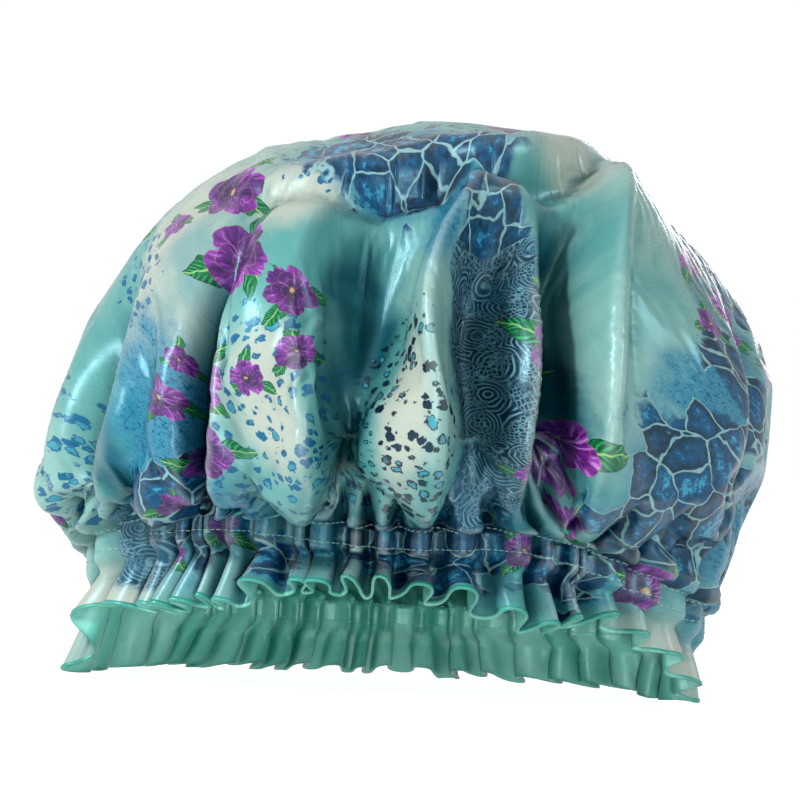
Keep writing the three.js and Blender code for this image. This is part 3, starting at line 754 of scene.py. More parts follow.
def crackleGlaze():
    # cells of watery ink parted by thin pale veins, as in crackled glaze
    w, given, out = nodeGroup("crackleGlaze", [("Place", "Vector", None), ("Cell", "Float", 14.0)],
                              [("Veins", "Float"), ("Tone", "Float"), ("Own", "Float")])
    place = w.moved(given["Place"], 6.0, 0.1, 5.0)
    scale = w.math("DIVIDE", 1.0, given["Cell"])
    edge = w.cells(place, scale, "DISTANCE_TO_EDGE").outputs["Distance"]
    width = w.math("MULTIPLY", w.math("POWER", w.noise(given["Place"], 0.13).outputs["Fac"], 3.0), 0.1)
    w.feed(out["Veins"], w.ramp(w.math("SUBTRACT", edge, width), 0.0, 0.022, 1.0, 0.0))
    chance = w.split(w.cells(place, scale).outputs["Color"])
    ink = w.noise(given["Place"], 0.35, 5.0, 0.72).outputs["Fac"]
    pooled = w.ramp(edge, 0.05, 0.3, 0.0, 0.45)
    tone = w.math("MULTIPLY_ADD", chance[0], 0.45, pooled)
    w.feed(out["Tone"], w.math("MULTIPLY_ADD", w.math("SUBTRACT", ink, 0.5), 2.8, tone, clamp=True))
    w.feed(out["Own"], chance[1])
    return w.tree


def laceNet():
    # feathery scales: fine arcs one inside the other, broken by a net
    inputs = [("Place", "Vector", None), ("Mesh", "Float", 2.4)]
    w, given, out = nodeGroup("laceNet", inputs, [("Net", "Float")])
    scale = w.math("DIVIDE", 1.0, given["Mesh"])
    place = w.moved(given["Place"], 7.0, 0.06, 2.0)
    broken = w.ramp(w.noise(given["Place"], 0.11, 3.0).outputs["Fac"], 0.42, 0.58)
    scales = w.cells(place, w.math("MULTIPLY", scale, 0.16), "F1", 0.55).outputs["Distance"]
    arcs = w.math("PINGPONG", w.math("MULTIPLY", scales, 9.0), 0.5)
    feathers = w.math("MULTIPLY", w.ramp(arcs, 0.06, 0.26, 1.0, 0.0), broken)
    net = w.cells(place, w.math("MULTIPLY", scale, 1.5), "DISTANCE_TO_EDGE", 0.6).outputs["Distance"]
    mesh = w.math("MULTIPLY", w.ramp(net, 0.04, 0.16, 0.8, 0.0), w.math("SUBTRACT", 1.0, broken))
    w.feed(out["Net"], w.math("MAXIMUM", feathers, mesh))
    return w.tree


def blossomSpray():
    # one full blossom, one across at its petal tips, with three leaves round it
    outputs = [("Colour", "Color"), ("Mask", "Float")]
    w, given, out = nodeGroup("blossomSpray", [("Place", "Vector", None)], outputs)
    # each blossom has its own number in Z, which moves the noise along
    place = w.moved(given["Place"], 0.42, 1.5, 3.0)
    x, y, _ = w.split(place)
    number = w.split(given["Place"])[2]
    flat = w.vector("MULTIPLY", place, (1.0, 1.0, 0.0))
    reach = w.add("VectorMath", {0: flat}, operation="LENGTH").outputs["Value"]
    turn = w.math("ARCTAN2", y, x)
    ray = w.add("CombineXYZ", {0: w.math("MULTIPLY", turn, 7.0), 1: w.math("MULTIPLY", reach, 1.6),
                               2: number})
    streak = w.noise(ray.outputs[0], 1.0, 3.0, 0.6).outputs["Fac"]

    def petals(count, begin, inner, depth):
        lobe = w.math("ABSOLUTE", w.math("COSINE", w.math("MULTIPLY_ADD", turn, count / 2, begin)))
        return w.math("MULTIPLY_ADD", w.math("POWER", lobe, 0.55), depth, inner)

    # some petals catch the light and some stay dark
    shine = w.ramp(w.noise(place, 0.9, 2.0, 0.5, 0.8).outputs["Fac"], 0.38, 0.62, 0.15, 1.0)

    # leaves first, the petals lie over them
    third = 2 * math.pi / 3
    sector = w.math("SUBTRACT", w.math("FLOORED_MODULO", w.math("ADD", turn, 2.4), third), third / 2)
    leafX = w.math("MULTIPLY", reach, w.math("COSINE", sector))
    leafY = w.math("MULTIPLY", reach, w.math("SINE", sector))
    curl = w.math("MULTIPLY", w.math("SUBTRACT", leafX, 0.8), 0.18)
    bent = w.math("ABSOLUTE", w.math("SUBTRACT", leafY, curl))
    along = w.math("DIVIDE", w.math("SUBTRACT", leafX, 0.55), 1.2, clamp=True)
    rounded = w.math("SINE", w.math("MULTIPLY", w.math("POWER", along, 0.8), math.pi))
    width = w.math("MULTIPLY", rounded, 0.33)
    inLeaf = w.ramp(w.math("SUBTRACT", width, bent), 0.0, 0.025)
    veins = w.math("SINE", w.math("MULTIPLY", w.math("SUBTRACT", leafX, w.math("MULTIPLY", bent, 1.3)), 34.0))
    leaf = w.mix(w.ramp(veins, -0.4, 0.9), inks["leafDark"], inks["leaf"])
    leaf = w.mix(w.ramp(streak, 0.45, 0.62), leaf, inks["leafStreak"])
    leaf = w.mix(w.ramp(w.math("SUBTRACT", width, bent), 0.03, 0.07, 0.75, 0.0), leaf, inks["leafEdge"])
    leaf = w.mix(w.ramp(bent, 0.012, 0.03, 0.8, 0.0), leaf, inks["leafVein"])

    colour, mask = leaf, inLeaf
    petalRings = ((5.0, 0.3, 0.66, 0.34, "#420A5E", "#B94BD0"), (4.0, 1.7, 0.42, 0.3, "#33054A", "#A637C4"),
                  (3.0, 0.9, 0.18, 0.24, "#220335", "#8E2AAE"))
    for count, begin, inner, depth, dark, light in petalRings:
        edge = petals(count, begin, inner, depth)
        inside = w.math("SUBTRACT", edge, reach)
        lit = w.math("MULTIPLY", w.math("POWER", w.math("DIVIDE", reach, edge, clamp=True), 1.6), shine)
        face = w.mix(lit, paint(dark), paint(light))
        face = w.mix(w.ramp(streak, 0.42, 0.66, 0.0, 0.75), face, inks["petalStreak"])
        glints = w.math("MULTIPLY", w.ramp(streak, 0.46, 0.36, 0.0, 0.6), shine)
        face = w.mix(glints, face, inks["petalPale"])
        face = w.mix(w.ramp(inside, 0.01, 0.03, 0.45, 0.0), face, inks["petalEdge"])
        over = w.ramp(inside, 0.0, 0.02)
        colour = w.mix(over, colour, face)
        mask = w.math("MAXIMUM", mask, over)
    heart = w.math("MULTIPLY", w.ramp(reach, 0.05, 0.12, 1.0, 0.0), w.ramp(streak, 0.4, 0.5))
    colour = w.mix(heart, colour, inks["heart"])
    w.feed(out["Colour"], colour)
    w.feed(out["Mask"], mask)
    return w.tree


def paintedFoldShadeAndHighlight():
    # painted shade and highlight: thin satin is painted deeper in colour, as shade, where folds close in on
    # it and in hollow bends, and paler along their crests, as a painted highlight
    inputs = [("Colour", "Color", None), ("Tint", "Color", None), ("Reach", "Float", 0.035),
              ("CrestHighlight", "Float", 0.2)]
    w, given, out = nodeGroup("paintedFoldShadeAndHighlight", inputs, [("Colour", "Color")])
    closed = w.add("AmbientOcclusion", {"Distance": given["Reach"]}, samples=4, only_local=True)
    bend = w.add("NewGeometry").outputs["Pointiness"]
    # painted shade: darker where folds close in on the cloth and in hollow bends
    hidden = w.ramp(closed.outputs["AO"], 0.1, 0.95, 1.0, 0.0)
    paintedShadeShare = w.math("MAXIMUM", hidden, w.ramp(bend, 0.44, 0.49, 0.8, 0.0))
    shaded = w.mix(paintedShadeShare, given["Colour"], w.vector("MULTIPLY", given["Colour"], given["Tint"]))
    # painted highlight: paler along the convex crests
    crest = w.math("MULTIPLY", w.ramp(bend, 0.515, 0.57), given["CrestHighlight"])
    w.feed(out["Colour"], w.mix(crest, shaded, inks["crest"]))
    return w.tree


foldShadeGroup = paintedFoldShadeAndHighlight()
weaveGroup = satinWeave()
spotsGroup = leopardSpots()
crackleGroup = crackleGlaze()
laceGroup = laceNet()
blossomGroup = blossomSpray()


def useGroup(w, tree, values):
    n = w.tree.nodes.new("ShaderNodeGroup")
    n.node_tree = tree
    for key, value in values.items():
        w.feed(n.inputs[key], value)
    return n.outputs


satin = {"Roughness": 0.29, "Specular IOR Level": 0.55, "Specular Tint": (0.45, 0.82, 0.95, 1.0)}
mintGloss = {"Specular IOR Level": 0.7, "Specular Tint": (0.66, 1.0, 0.9, 1.0)}


def newMaterial(name, settings):
    material = bpy.data.materials.new(name)
    material.use_nodes = True
    bsdf = material.node_tree.nodes["Principled BSDF"]
    for key, value in settings.items():
        bsdf.inputs[key].default_value = value
    return material, Wiring(material.node_tree), bsdf


# the patches of the print, by kind, roughly where the photo shows them, and free at the back and sides:
# degrees round from the front, distance down from the crown, half length and half width (millimetres)
patches = dict(
    crackle=[(-6, 60, 25, 34), (22, 98, 15, 17), (66, 220, 42, 46), (82, 172, 24, 26), (-64, 243, 34, 30),
             (6, 266, 22, 44), (46, 268, 20, 30), (-34, 276, 12, 20), (118, 140, 48, 44),
             (205, 205, 48, 50), (262, 110, 36, 30), (302, 250, 30, 36), (158, 255, 34, 44)],
    leopard=[(-27, 192, 46, 36), (-2, 186, 46, 27), (-18, 246, 30, 70), (-97, 214, 40, 34),
             (-28, 58, 26, 26), (-68, 140, 24, 20), (98, 226, 40, 30), (150, 205, 44, 44),
             (235, 165, 45, 45), (190, 60, 30, 40), (30, 40, 20, 20)],
    lace=[(27, 128, 36, 19), (23, 180, 50, 25), (15, 232, 26, 20), (158, 130, 60, 30),
          (-122, 120, 44, 34), (-80, 262, 24, 30)],
    wash=[(-60, 205, 50, 34), (74, 176, 20, 34), (92, 230, 46, 40), (-46, 238, 34, 30), (10, 100, 30, 12),
          (140, 100, 50, 50), (-150, 190, 60, 40)],
    cream=[(-60, 132, 74, 30), (-30, 92, 26, 24), (70, 212, 44, 11), (-26, 176, 30, 16),
           (-1, 178, 40, 12), (60, 60, 24, 34), (-88, 284, 18, 40), (76, 290, 20, 34),
           (210, 120, 50, 40)],
    # deep: partly dark teal of the print, partly painted shade laid along the valleys of the folds
    deep=[(-13, 138, 52, 20), (41, 150, 84, 13), (-20, 262, 20, 44), (22, 250, 30, 14),
          (-76, 195, 60, 13), (88, 110, 60, 20), (165, 70, 50, 40)],
)
# blossoms, in groups roughly where the photo has them: degrees round, distance down, size, turn of the spray
blossoms = [
    (-50, 96, 14, 0.4), (-39, 127, 17, 2.2), (-27, 139, 9, 1.1), (-60, 116, 7, 3.3), (-23, 160, 7, 5.0),
    (-29, 171, 6, 0.5), (-37, 176, 10, 4.0), (-38, 200, 11, 1.0), (-60, 184, 8, 2.6), (-57, 213, 9, 5.6),
    (-65, 226, 6, 1.9), (-55, 170, 5, 0.1), (33, 160, 15, 3.0), (38, 198, 18, 0.9), (37, 224, 12, 0.2),
    (24, 212, 9, 1.9), (43, 238, 12, 4.4), (28, 186, 8, 2.9), (40, 136, 8, 5.1), (83, 118, 9, 0.8),
    (91, 138, 11, 4.0), (79, 146, 6, 2.1), (97, 160, 7, 1.2), (64, 262, 11, 3.9), (26, 262, 8, 5.2),
    (-46, 262, 9, 0.3), (-72, 272, 7, 2.3), (-86, 118, 13, 5.2), (-101, 140, 8, 1.3), (-108, 118, 6, 4.9),
    (110, 90, 14, 0.0), (121, 108, 8, 3.0), (128, 205, 15, 2.0), (138, 222, 9, 5.0), (146, 120, 11, 4.1),
    (168, 190, 13, 3.2), (176, 208, 8, 0.6), (186, 96, 14, 1.4), (194, 112, 8, 4.6), (200, 150, 9, 5.5),
    (222, 215, 14, 0.7), (214, 232, 8, 3.6), (243, 130, 12, 2.4), (236, 116, 7, 5.8), (250, 230, 9, 3.7),
    (312, 34, 8, 0.9), (180, 244, 9, 0.3), (58, 34, 7, 2.7), (150, 60, 9, 3.5), (215, 50, 10, 1.2),
]

# the print is laid out on the unfolded dome, a ball of this radius (millimetres)
ball = 145.0


def onBall(degrees, down):
    turn = math.radians(degrees) - math.pi / 2
    a = down / ball
    return ball * np.array([math.sin(a) * math.cos(turn), math.sin(a) * math.sin(turn), math.cos(a)])


def addPrintLayout(obj, places):
    # places of the points on the ball, soft patch strengths, and the place on the nearest blossom
    s = np.linalg.norm(places, axis=1)
    turn = np.arctan2(places[:, 1], places[:, 0])
    over = s / ball
    rest = ball * np.stack([np.sin(over) * np.cos(turn), np.sin(over) * np.sin(turn), np.cos(over)], -1)
    strip = np.stack([(turn + math.pi / 2 + math.pi) % (2 * math.pi) * ball, s, np.zeros(len(s))], -1)

    def nearTo(degrees, down):
        # how far each point is from a place, across and down the cloth
        at = onBall(degrees, down)
        lengthways = onBall(degrees, down + 0.5) - onBall(degrees, down - 0.5)
        across = np.cross(at, lengthways)
        across, lengthways = across / np.linalg.norm(across), lengthways / np.linalg.norm(lengthways)
        away = rest - at
        return away @ across, away @ lengthways, away

    strength = {kind: np.zeros(len(places)) for kind in patches}
    for kind, spots in patches.items():
        for degrees, down, long, wide in spots:
            across, lengthways, _ = nearTo(degrees, down)
            near = rest @ onBall(degrees, down) > 0
            soft = near * np.exp(-((lengthways / long) ** 2 + (across / wide) ** 2))
            strength[kind] = np.maximum(strength[kind], soft)
    bloom = np.zeros((len(places), 3))
    nearest = np.full(len(places), 1e9)
    own = np.zeros(len(places))
    for number, (degrees, down, size, bend) in enumerate(blossoms):
        across, lengthways, away = nearTo(degrees, down)
        reach = np.linalg.norm(away, axis=1) / size
        c, n = math.cos(bend), math.sin(bend)
        local = np.stack([c * across - n * lengthways, n * across + c * lengthways], -1) / size
        closer = reach < nearest
        nearest[closer] = reach[closer]
        bloom[closer, :2] = local[closer]
        own[closer] = number + 1
    bloom[:, 2] = own * (nearest < 2.0)
    zones = np.stack([strength[k] for k in ("crackle", "leopard", "lace", "wash")], -1)
    tone = (strength["cream"] - strength["deep"])[:, None]
    fields = (("zones", "FLOAT_COLOR", "color", zones), ("tone", "FLOAT", "value", tone),
              ("bloom", "FLOAT_VECTOR", "vector", bloom), ("rest", "FLOAT_VECTOR", "vector", rest),
              ("strip", "FLOAT_VECTOR", "vector", strip))
    for name, kind, key, values in fields:
        layer = obj.data.attributes.new(name, kind, "POINT")
        layer.data.foreach_set(key, values.astype(np.float32).ravel())


def onCutCloth(w):
    # place on the cut cloth in millimetres
    return w.scaled(w.add("UVMap", uv_map="disc").outputs[0], 1000.0)


def finishSatin(w, bsdf, colour, shade, place, relief):
    # colour with painted shade in the folds and a painted highlight on their crests, and the gloss and relief
    # of the weave
    weave = useGroup(w, weaveGroup, {"Place": place, "Pitch": 0.45, "Roughness": satin["Roughness"]})
    w.feed(bsdf.inputs["Base Color"], useGroup(w, foldShadeGroup, {"Colour": colour, **shade})[0])
    w.feed(bsdf.inputs["Roughness"], weave["Roughness"])
    bump = w.add("Bump", {"Height": weave["Height"], "Strength": relief, "Distance": 0.0003})
    w.feed(bsdf.inputs["Normal"], bump.outputs[0])


def printedSatin():
    material, w, bsdf = newMaterial("printed_satin", satin)
    place, strip, bloom = (w.field(name)["Vector"] for name in ("rest", "strip", "bloom"))
    zones, tone = w.field("zones"), w.field("tone")["Fac"]
    crackleZone, leopardZone, laceZone = w.add("SeparateColor", {0: zones["Color"]}).outputs
    washZone = zones["Alpha"]
    # ground: aqua clouds that run to cream and to deep teal; the deep teal is partly print and partly painted
    # shade along the valleys of the folds
    cloud = w.noise(place, 0.0105, 4.0, 0.55, 0.6).outputs["Fac"]
    drift = w.noise(w.vector("ADD", place, (300.0, 90.0, 0.0)), 0.016, 4.0, 0.6, 0.4).outputs["Fac"]
    ragged = w.math("SUBTRACT", w.noise(place, 0.075, 5.0, 0.62).outputs["Fac"], 0.5)

    def zone(strength, low, high, amount=0.9):
        return w.ramp(w.math("MULTIPLY_ADD", ragged, amount, strength), low, high)

    ground = w.mix(w.ramp(cloud, 0.4, 0.6), inks["ground"], inks["groundPale"])
    ground = w.mix(zone(tone, 0.15, 0.8, 0.7), ground, inks["cream"])
    # deep teal: partly print, partly painted shade in the fold valleys
    ground = w.mix(zone(w.math("MULTIPLY", tone, -1.0), 0.1, 0.8, 0.7), ground, inks["deep"])
    ground = w.mix(w.math("MULTIPLY", w.ramp(drift, 0.52, 0.7), 0.6), ground, inks["drift"])
    wash = w.math("MAXIMUM", washZone, w.math("MAXIMUM", w.math("MULTIPLY", crackleZone, 0.95),
                                              w.math("MULTIPLY", laceZone, 0.9)))
    colour = w.mix(w.math("MULTIPLY", zone(wash, 0.12, 0.7), 0.9), ground, inks["wash"])
    specks = w.ramp(w.noise(place, 0.8, 4.0, 0.75).outputs["Fac"], 0.5, 0.6)
    colour = w.mix(w.math("MULTIPLY", specks, zone(wash, 0.3, 0.75)), colour, inks["specks"])
    # leopard spots, smaller towards the edge of their patch
    spotted = zone(leopardZone, 0.12, 0.5, 0.5)
    spots = useGroup(w, spotsGroup, {"Place": place, "Spot": 4.4, "Strength": spotted})
    # blue spots to the left of the front, nearly black ones round it to the right
    blackness = w.math("MULTIPLY_ADD", w.noise(place, 0.05, 2.0).outputs["Fac"], 90.0, w.split(strip)[0])
    spotInk = w.mix(w.ramp(blackness, 455, 490), inks["spotBlue"], inks["spotBlack"])
    colour = w.mix(spots["Middles"], colour, inks["spotMiddle"])
    colour = w.mix(spots["Spots"], colour, spotInk)
    # lace on a dark ground
    lace = useGroup(w, laceGroup, {"Place": strip, "Mesh": 2.4})
    inLace = zone(laceZone, 0.3, 0.46, 0.6)
    dark = w.mix(w.ramp(drift, 0.4, 0.6), inks["laceDark"], inks["laceTeal"])
    laceFace = w.mix(w.math("MULTIPLY", lace["Net"], 0.75), dark, inks["laceThread"])
    colour = w.mix(inLace, colour, laceFace)
    # crackle: whole cells drop out towards the edge of a patch
    crackle = useGroup(w, crackleGroup, {"Place": place, "Cell": 14.0})
    ink = w.mix(crackle["Tone"], inks["crackleDark"], inks["crackleBlue"])
    ink = w.mix(w.ramp(crackle["Tone"], 0.75, 1.0), ink, inks["cracklePale"])
    crackleFace = w.mix(crackle["Veins"], ink, inks["veins"])
    kept = w.math("MULTIPLY_ADD", w.math("SUBTRACT", crackle["Own"], 0.5), 0.4, crackleZone)
    colour = w.mix(zone(kept, 0.36, 0.44, 0.4), colour, crackleFace)
    # blossoms over all
    spray = useGroup(w, blossomGroup, {"Place": bloom})
    number = w.split(bloom)[2]
    whole = w.math("COMPARE", number, w.math("ROUND", number), 0.001)
    here = w.math("MULTIPLY", whole, w.math("GREATER_THAN", number, 0.5))
    colour = w.mix(w.math("MULTIPLY", spray["Mask"], here), colour, spray["Colour"])
    # painted shade in the folds, tinted deep teal, and a painted highlight on the crests
    finishSatin(w, bsdf, colour, {"Tint": (0.03, 0.2, 0.24)}, onCutCloth(w), 0.15)
    return material


def mintSatin():
    material, w, bsdf = newMaterial("mint_satin", mintGloss)
    place = onCutCloth(w)
    cloud = w.noise(place, 0.02, 4.0, 0.55).outputs["Fac"]
    colour = w.mix(w.ramp(cloud, 0.35, 0.65), inks["mint"], inks["mintPale"])
    # painted shade in the folds and a painted highlight on the crests
    finishSatin(w, bsdf, colour, {"Tint": (0.03, 0.42, 0.38), "Reach": 0.012, "CrestHighlight": 0.55}, place, 0.2)
    return material


addPrintLayout(outer, discPlaces(rowS, crownRings, crownS))
outer.data.materials.append(printedSatin())
lining.data.materials.append(mintSatin())
for piece, node, slotName in ((outer, "outer_shell", "printed_satin"), (lining, "lining", "mint_satin")):
    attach(piece, "root")
    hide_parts(node)
print("satin and lining finished")


# flat elastic lapped at the back, and the thread that closes it
elastic = dict(wide=7.4, thick=1.0, gap=0.36, bevel=0.4, lapDegrees=10, steps=240, threadWide=0.5, zigzags=7,
               spread=3.6, threadRoom=0.05)


def tube(path, sides, radius):
    # closed tube round an open path
    path = np.asarray(path)
    ahead = np.gradient(path, axis=0)
    ahead /= np.linalg.norm(ahead, axis=1, keepdims=True)
    across = np.cross(ahead, np.array([0, 1, 0]))
    across /= np.linalg.norm(across, axis=1, keepdims=True)
    up = np.cross(across, ahead)
    turn = np.arange(sides) / sides * 2 * math.pi
    section = np.cos(turn)[:, None] * across[:, None] + np.sin(turn)[:, None] * up[:, None]
    rings = path[:, None] + radius * section
    points = np.concatenate([rings.reshape(-1, 3), path[:1], path[-1:]])
    faces, n = [], len(path)
    for k in range(n - 1):
        for i in range(sides):
            j = (i + 1) % sides
            faces.append((k * sides + i, k * sides + j, (k + 1) * sides + j, (k + 1) * sides + i))
    first, last = n * sides, n * sides + 1
    for i in range(sides):
        j = (i + 1) % sides
        faces += [(first, j, i), (last, (n - 1) * sides + i, (n - 1) * sides + j)]
    return points, faces


def elasticBand():
    overlap = math.radians(elastic["lapDegrees"])
    turn = math.pi / 2 + np.linspace(-overlap / 2, 2 * math.pi + overlap / 2, elastic["steps"])
    shift = (elastic["thick"] + elastic["gap"]) * (np.linspace(0, 1, len(turn)) - 0.5)
    reach = ringReach(turn) + shift
    middle = ringTopZ(turn) - casing["width"] / 2
    half, thick = elastic["wide"] / 2, elastic["thick"] / 2
    flank = half - elastic["bevel"]
    section = [(thick, flank), (thick * 0.5, half), (-thick * 0.5, half), (-thick, flank),
               (-thick, -flank), (-thick * 0.5, -half), (thick * 0.5, -half), (thick, -flank)]
    rings = [[((r + out) * math.cos(a), (r + out) * math.sin(a), z + up) for out, up in section]
             for a, r, z in zip(turn, reach, middle)]
    points = np.array(rings).reshape(-1, 3)
    n, sides = len(turn), len(section)
    faces = []
    for k in range(n - 1):
        for i in range(sides):
            j = (i + 1) % sides
            faces.append((k * sides + i, (k + 1) * sides + i, (k + 1) * sides + j, k * sides + j))
    faces += [tuple(range(sides)), tuple(range(n * sides - 1, (n - 1) * sides - 1, -1))]
    return meshObject("elastic_loop", points, faces)


def joinThread():
    # zigzag across the lap, on its outer face
    sewn = math.radians(elastic["lapDegrees"]) * 0.7
    t = np.linspace(0, 1, elastic["zigzags"] * 10 + 1)
    turn = math.pi / 2 + sewn * (t - 0.5)
    saw = np.abs((t * elastic["zigzags"]) % 2 - 1) * 2 - 1
    out = elastic["thick"] + elastic["gap"] / 2 + elastic["threadRoom"] + elastic["threadWide"] / 2
    reach = ringReach(turn) + out
    height = ringTopZ(turn) - casing["width"] / 2 + elastic["spread"] * 0.7 * saw
    path = np.stack([reach * np.cos(turn), reach * np.sin(turn), height], -1)
    points, faces = tube(path, 8, elastic["threadWide"] / 2)
    return meshObject("elastic_join_thread", points, faces)


# rows of lockstitches: how far in from the edges of the casing, length of a stitch with its gap, the thread
stitches = dict(inset=1.2, pitch=0.0026, long=0.0021, thick=0.00045, lean=0.12, seed=3)


def stitchTree():
    # beads drawn out along the row, each leaning a little its own way
    inputs = [("Row", "Geometry", None), ("Pitch", "Float", 0.0026), ("Long", "Float", 0.002),
              ("Thick", "Float", 0.0005), ("Lean", "Float", 0.1), ("Seed", "Int", 0),
              ("Thread", "Material", None)]
    w, given, out = nodeGroup("stitch_row", inputs, [("Stitches", "Geometry")], "GeometryNodeTree")
    curve = w.add("GeometryNodeMeshToCurve", {"Mesh": given["Row"]}).outputs["Curve"]
    spaced = w.add("GeometryNodeResampleCurve", {"Curve": curve, "Length": given["Pitch"]}, mode="LENGTH")
    bead = w.add("GeometryNodeMeshUVSphere", {"Segments": 6, "Rings": 5, "Radius": 0.5}).outputs["Mesh"]
    size = w.add("CombineXYZ", {0: given["Thick"], 1: given["Thick"], 2: given["Long"]}).outputs[0]
    leans = {"Min": w.math("MULTIPLY", given["Lean"], -1.0), "Max": given["Lean"], "Seed": given["Seed"]}
    leaning = w.add("FunctionNodeRandomValue", leans, data_type="FLOAT_VECTOR").outputs["Value"]
    aimed = w.vector("ADD", w.add("GeometryNodeInputTangent").outputs[0], leaning)
    along = w.add("FunctionNodeAlignRotationToVector", {"Vector": aimed}, axis="Z").outputs["Rotation"]
    laid = {"Points": spaced.outputs["Curve"], "Instance": bead, "Rotation": along, "Scale": size}
    placed = w.add("GeometryNodeInstanceOnPoints", laid).outputs[0]
    real = w.add("GeometryNodeRealizeInstances", {0: placed}).outputs[0]
    painted = w.add("GeometryNodeSetMaterial", {"Geometry": real, "Material": given["Thread"]}).outputs[0]
    w.feed(out["Stitches"], painted)
    return w.tree


def threadMaterial(name, colour):
    material, w, bsdf = newMaterial(name, {"Roughness": 0.5, "Sheen Weight": 0.3})
    place = w.add("TexCoord").outputs["Object"]
    twist = w.noise(place, 900.0, 2.0).outputs["Fac"]
    w.feed(bsdf.inputs["Base Color"], w.mix(w.ramp(twist, 0.35, 0.65), paint(colour[0]), paint(colour[1])))
    bump = w.add("Bump", {"Height": twist, "Strength": 0.3, "Distance": 0.0002})
    w.feed(bsdf.inputs["Normal"], bump.outputs[0])
    return material


stitchGroup = stitchTree()
threadPaint = threadMaterial("thread", ("#8CC6BC", "#B4DDD4"))
liningThread = threadMaterial("lining_thread", ("#6CC3AE", "#93DCCB"))


def stitchRow(name, side, down, material):
    # the row lies on its cloth along the gathers of the casing
    cloth = clothLayer(side)[:rowPoints].reshape(rows.shape)
    facing = normals[:rowPoints].reshape(rows.shape)
    s = cut["toRing"] + down
    k = int(np.searchsorted(rowS, s)) - 1
    t = (s - rowS[k]) / (rowS[k + 1] - rowS[k])
    line = cloth[k] * (1 - t) + cloth[k + 1] * t + facing[k] * side * 0.12
    obj = meshObject(name, line, [])
    obj.data.edges.add(len(line))
    ends = [v for i in range(len(line)) for v in (i, (i + 1) % len(line))]
    obj.data.edges.foreach_set("vertices", ends)
    obj.data.update()
    row = obj.modifiers.new("stitches", "NODES")
    row.node_group = stitchGroup
    values = {"Pitch": stitches["pitch"], "Long": stitches["long"], "Thick": stitches["thick"],
              "Lean": stitches["lean"], "Seed": stitches["seed"], "Thread": material}
    for item in stitchGroup.interface.items_tree:
        if item.in_out == "INPUT" and item.name in values:
            row[item.identifier] = values[item.name]
    shaped = bpy.data.meshes.new_from_object(obj.evaluated_get(bpy.context.evaluated_depsgraph_get()))
    obj.modifiers.clear()
    obj.data = shaped
    shaped.polygons.foreach_set("use_smooth", [True] * len(shaped.polygons))
    return obj


def elasticMaterial():
    material, w, bsdf = newMaterial("elastic", {"Roughness": 0.8, "Sheen Weight": 0.3})
    place = w.add("TexCoord").outputs["Object"]
    height = w.math("MULTIPLY", w.split(place)[2], 2 * math.pi / 0.00075)
    cords = w.math("SINE", height)
    knit = w.noise(place, 1100.0, 2.0).outputs["Fac"]
    w.feed(bsdf.inputs["Base Color"], w.mix(w.ramp(knit, 0.3, 0.7), paint("#E2DFD6"), paint("#F7F5EF")))
    relief = w.math("MULTIPLY_ADD", knit, 0.8, cords)
    bump = w.add("Bump", {"Height": relief, "Strength": 0.5, "Distance": 0.0002})
    w.feed(bsdf.inputs["Normal"], bump.outputs[0])
    return material


band, join = elasticBand(), joinThread()
band.data.materials.append(elasticMaterial())
join.data.materials.append(threadPaint)
lowRow = casing["width"] - stitches["inset"]
sewn = [
    (band, "elastic_band", "elastic"),
    (join, "elastic_join_stitch", "thread"),
    (stitchRow("stitches_upper", 1, stitches["inset"], threadPaint), "casing_stitch_upper", "thread"),
    (stitchRow("stitches_lower", 1, lowRow, threadPaint), "casing_stitch_lower", "thread"),
    (stitchRow("bobbin_upper", -1, stitches["inset"], liningThread), "casing_bobbin_upper", "lining_thread"),
    (stitchRow("bobbin_lower", -1, lowRow, liningThread), "casing_bobbin_lower", "lining_thread"),
]
for piece, node, slotName in sewn:
    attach(piece, "root")
    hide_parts(node)
    print(node, len(piece.data.polygons), "faces")


def seenBackground(w):
    # one for rays that show the background, straight, mirrored or through glass, and nought for light
    path = w.add("LightPath").outputs
    mirrored = w.math("MAXIMUM", path["Is Camera Ray"], path["Is Glossy Ray"])
    return w.math("MAXIMUM", mirrored, path["Is Transmission Ray"])


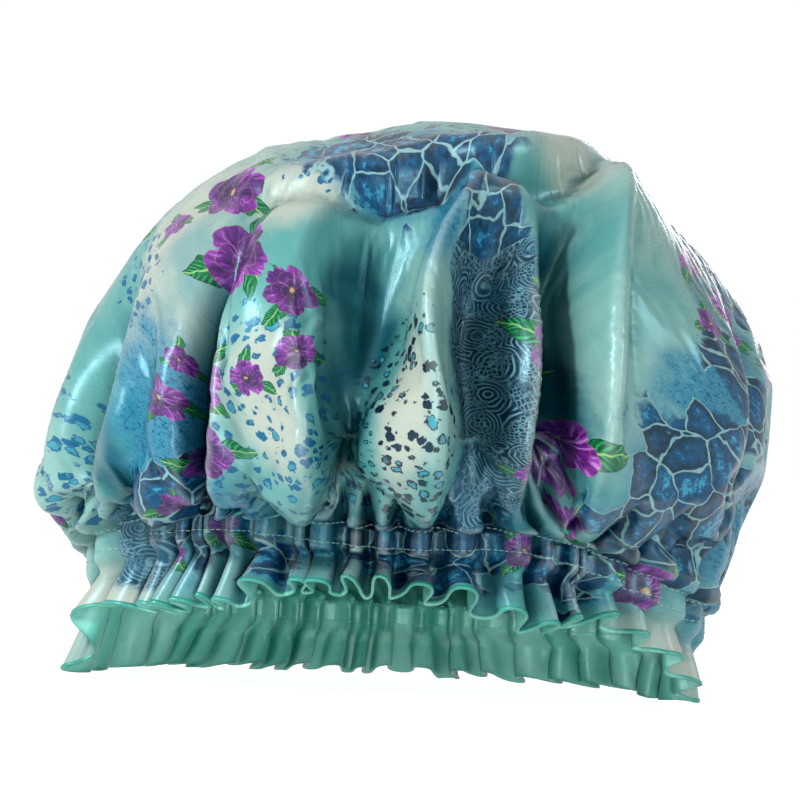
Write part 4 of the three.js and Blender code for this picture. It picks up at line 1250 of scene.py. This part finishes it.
def whiteFloor():
    # reads as plain white and keeps the bonnet's shadow
    material, w, bsdf = newMaterial("white_floor", {"Base Color": (0.82, 0.82, 0.82, 1), "Roughness": 0.9})
    glow = w.add("Emission", {"Strength": w.math("MULTIPLY", seenBackground(w), 0.93)})
    both = w.add("AddShader", {0: bsdf.outputs[0], 1: glow.outputs[0]})
    w.feed(w.tree.nodes["Material Output"].inputs["Surface"], both.outputs[0])
    return material


stage = dict(half=6.0, drop=0.0004)
floorMesh = bpy.data.meshes.new("floor")
half, down = stage["half"], -stage["drop"]
floorMesh.from_pydata([(-half, -half, down), (half, -half, down), (half, half, down), (-half, half, down)],
                      [], [(0, 1, 2, 3)])
floor = bpy.data.objects.new("floor", floorMesh)
scene.collection.objects.link(floor)
floorMesh.materials.append(whiteFloor())

# lamps: place, size and watts, all turned to the middle of the bonnet
lampAim = Vector((0, 0, 0.1))
lamps = dict(key=((-0.9, -0.8, 0.75), 0.18, 14.0), low=((0.1, -1.5, 0.02), 0.14, 8.5),
             side=((1.2, -0.7, 0.6), 0.26, 6.0), back=((0.5, 1.5, 0.45), 0.5, 3.0))
for name, (place, size, watts) in lamps.items():
    data = bpy.data.lights.new(name, "AREA")
    data.shape = "DISK"
    data.size = size
    data.energy = watts
    lamp = bpy.data.objects.new(name, data)
    scene.collection.objects.link(lamp)
    lamp.location = place
    lamp.rotation_euler = (lampAim - Vector(place)).to_track_quat("-Z", "Y").to_euler()


def whiteWorld(strength, tint):
    world = bpy.data.worlds.new("studio")
    scene.world = world
    world.use_nodes = True
    w, room = Wiring(world.node_tree), world.node_tree.nodes["Background"]
    w.feed(room.inputs["Color"], tint)
    w.feed(room.inputs["Strength"], strength)
    white = w.add("Background", {"Color": (1.0, 1.0, 1.0)})
    mixed = w.add("MixShader", {0: seenBackground(w), 1: room.outputs[0], 2: white.outputs[0]})
    w.feed(world.node_tree.nodes["World Output"].inputs["Surface"], mixed.outputs[0])


whiteWorld(0.05, (0.8, 0.92, 0.94))
print("stage and lights set")
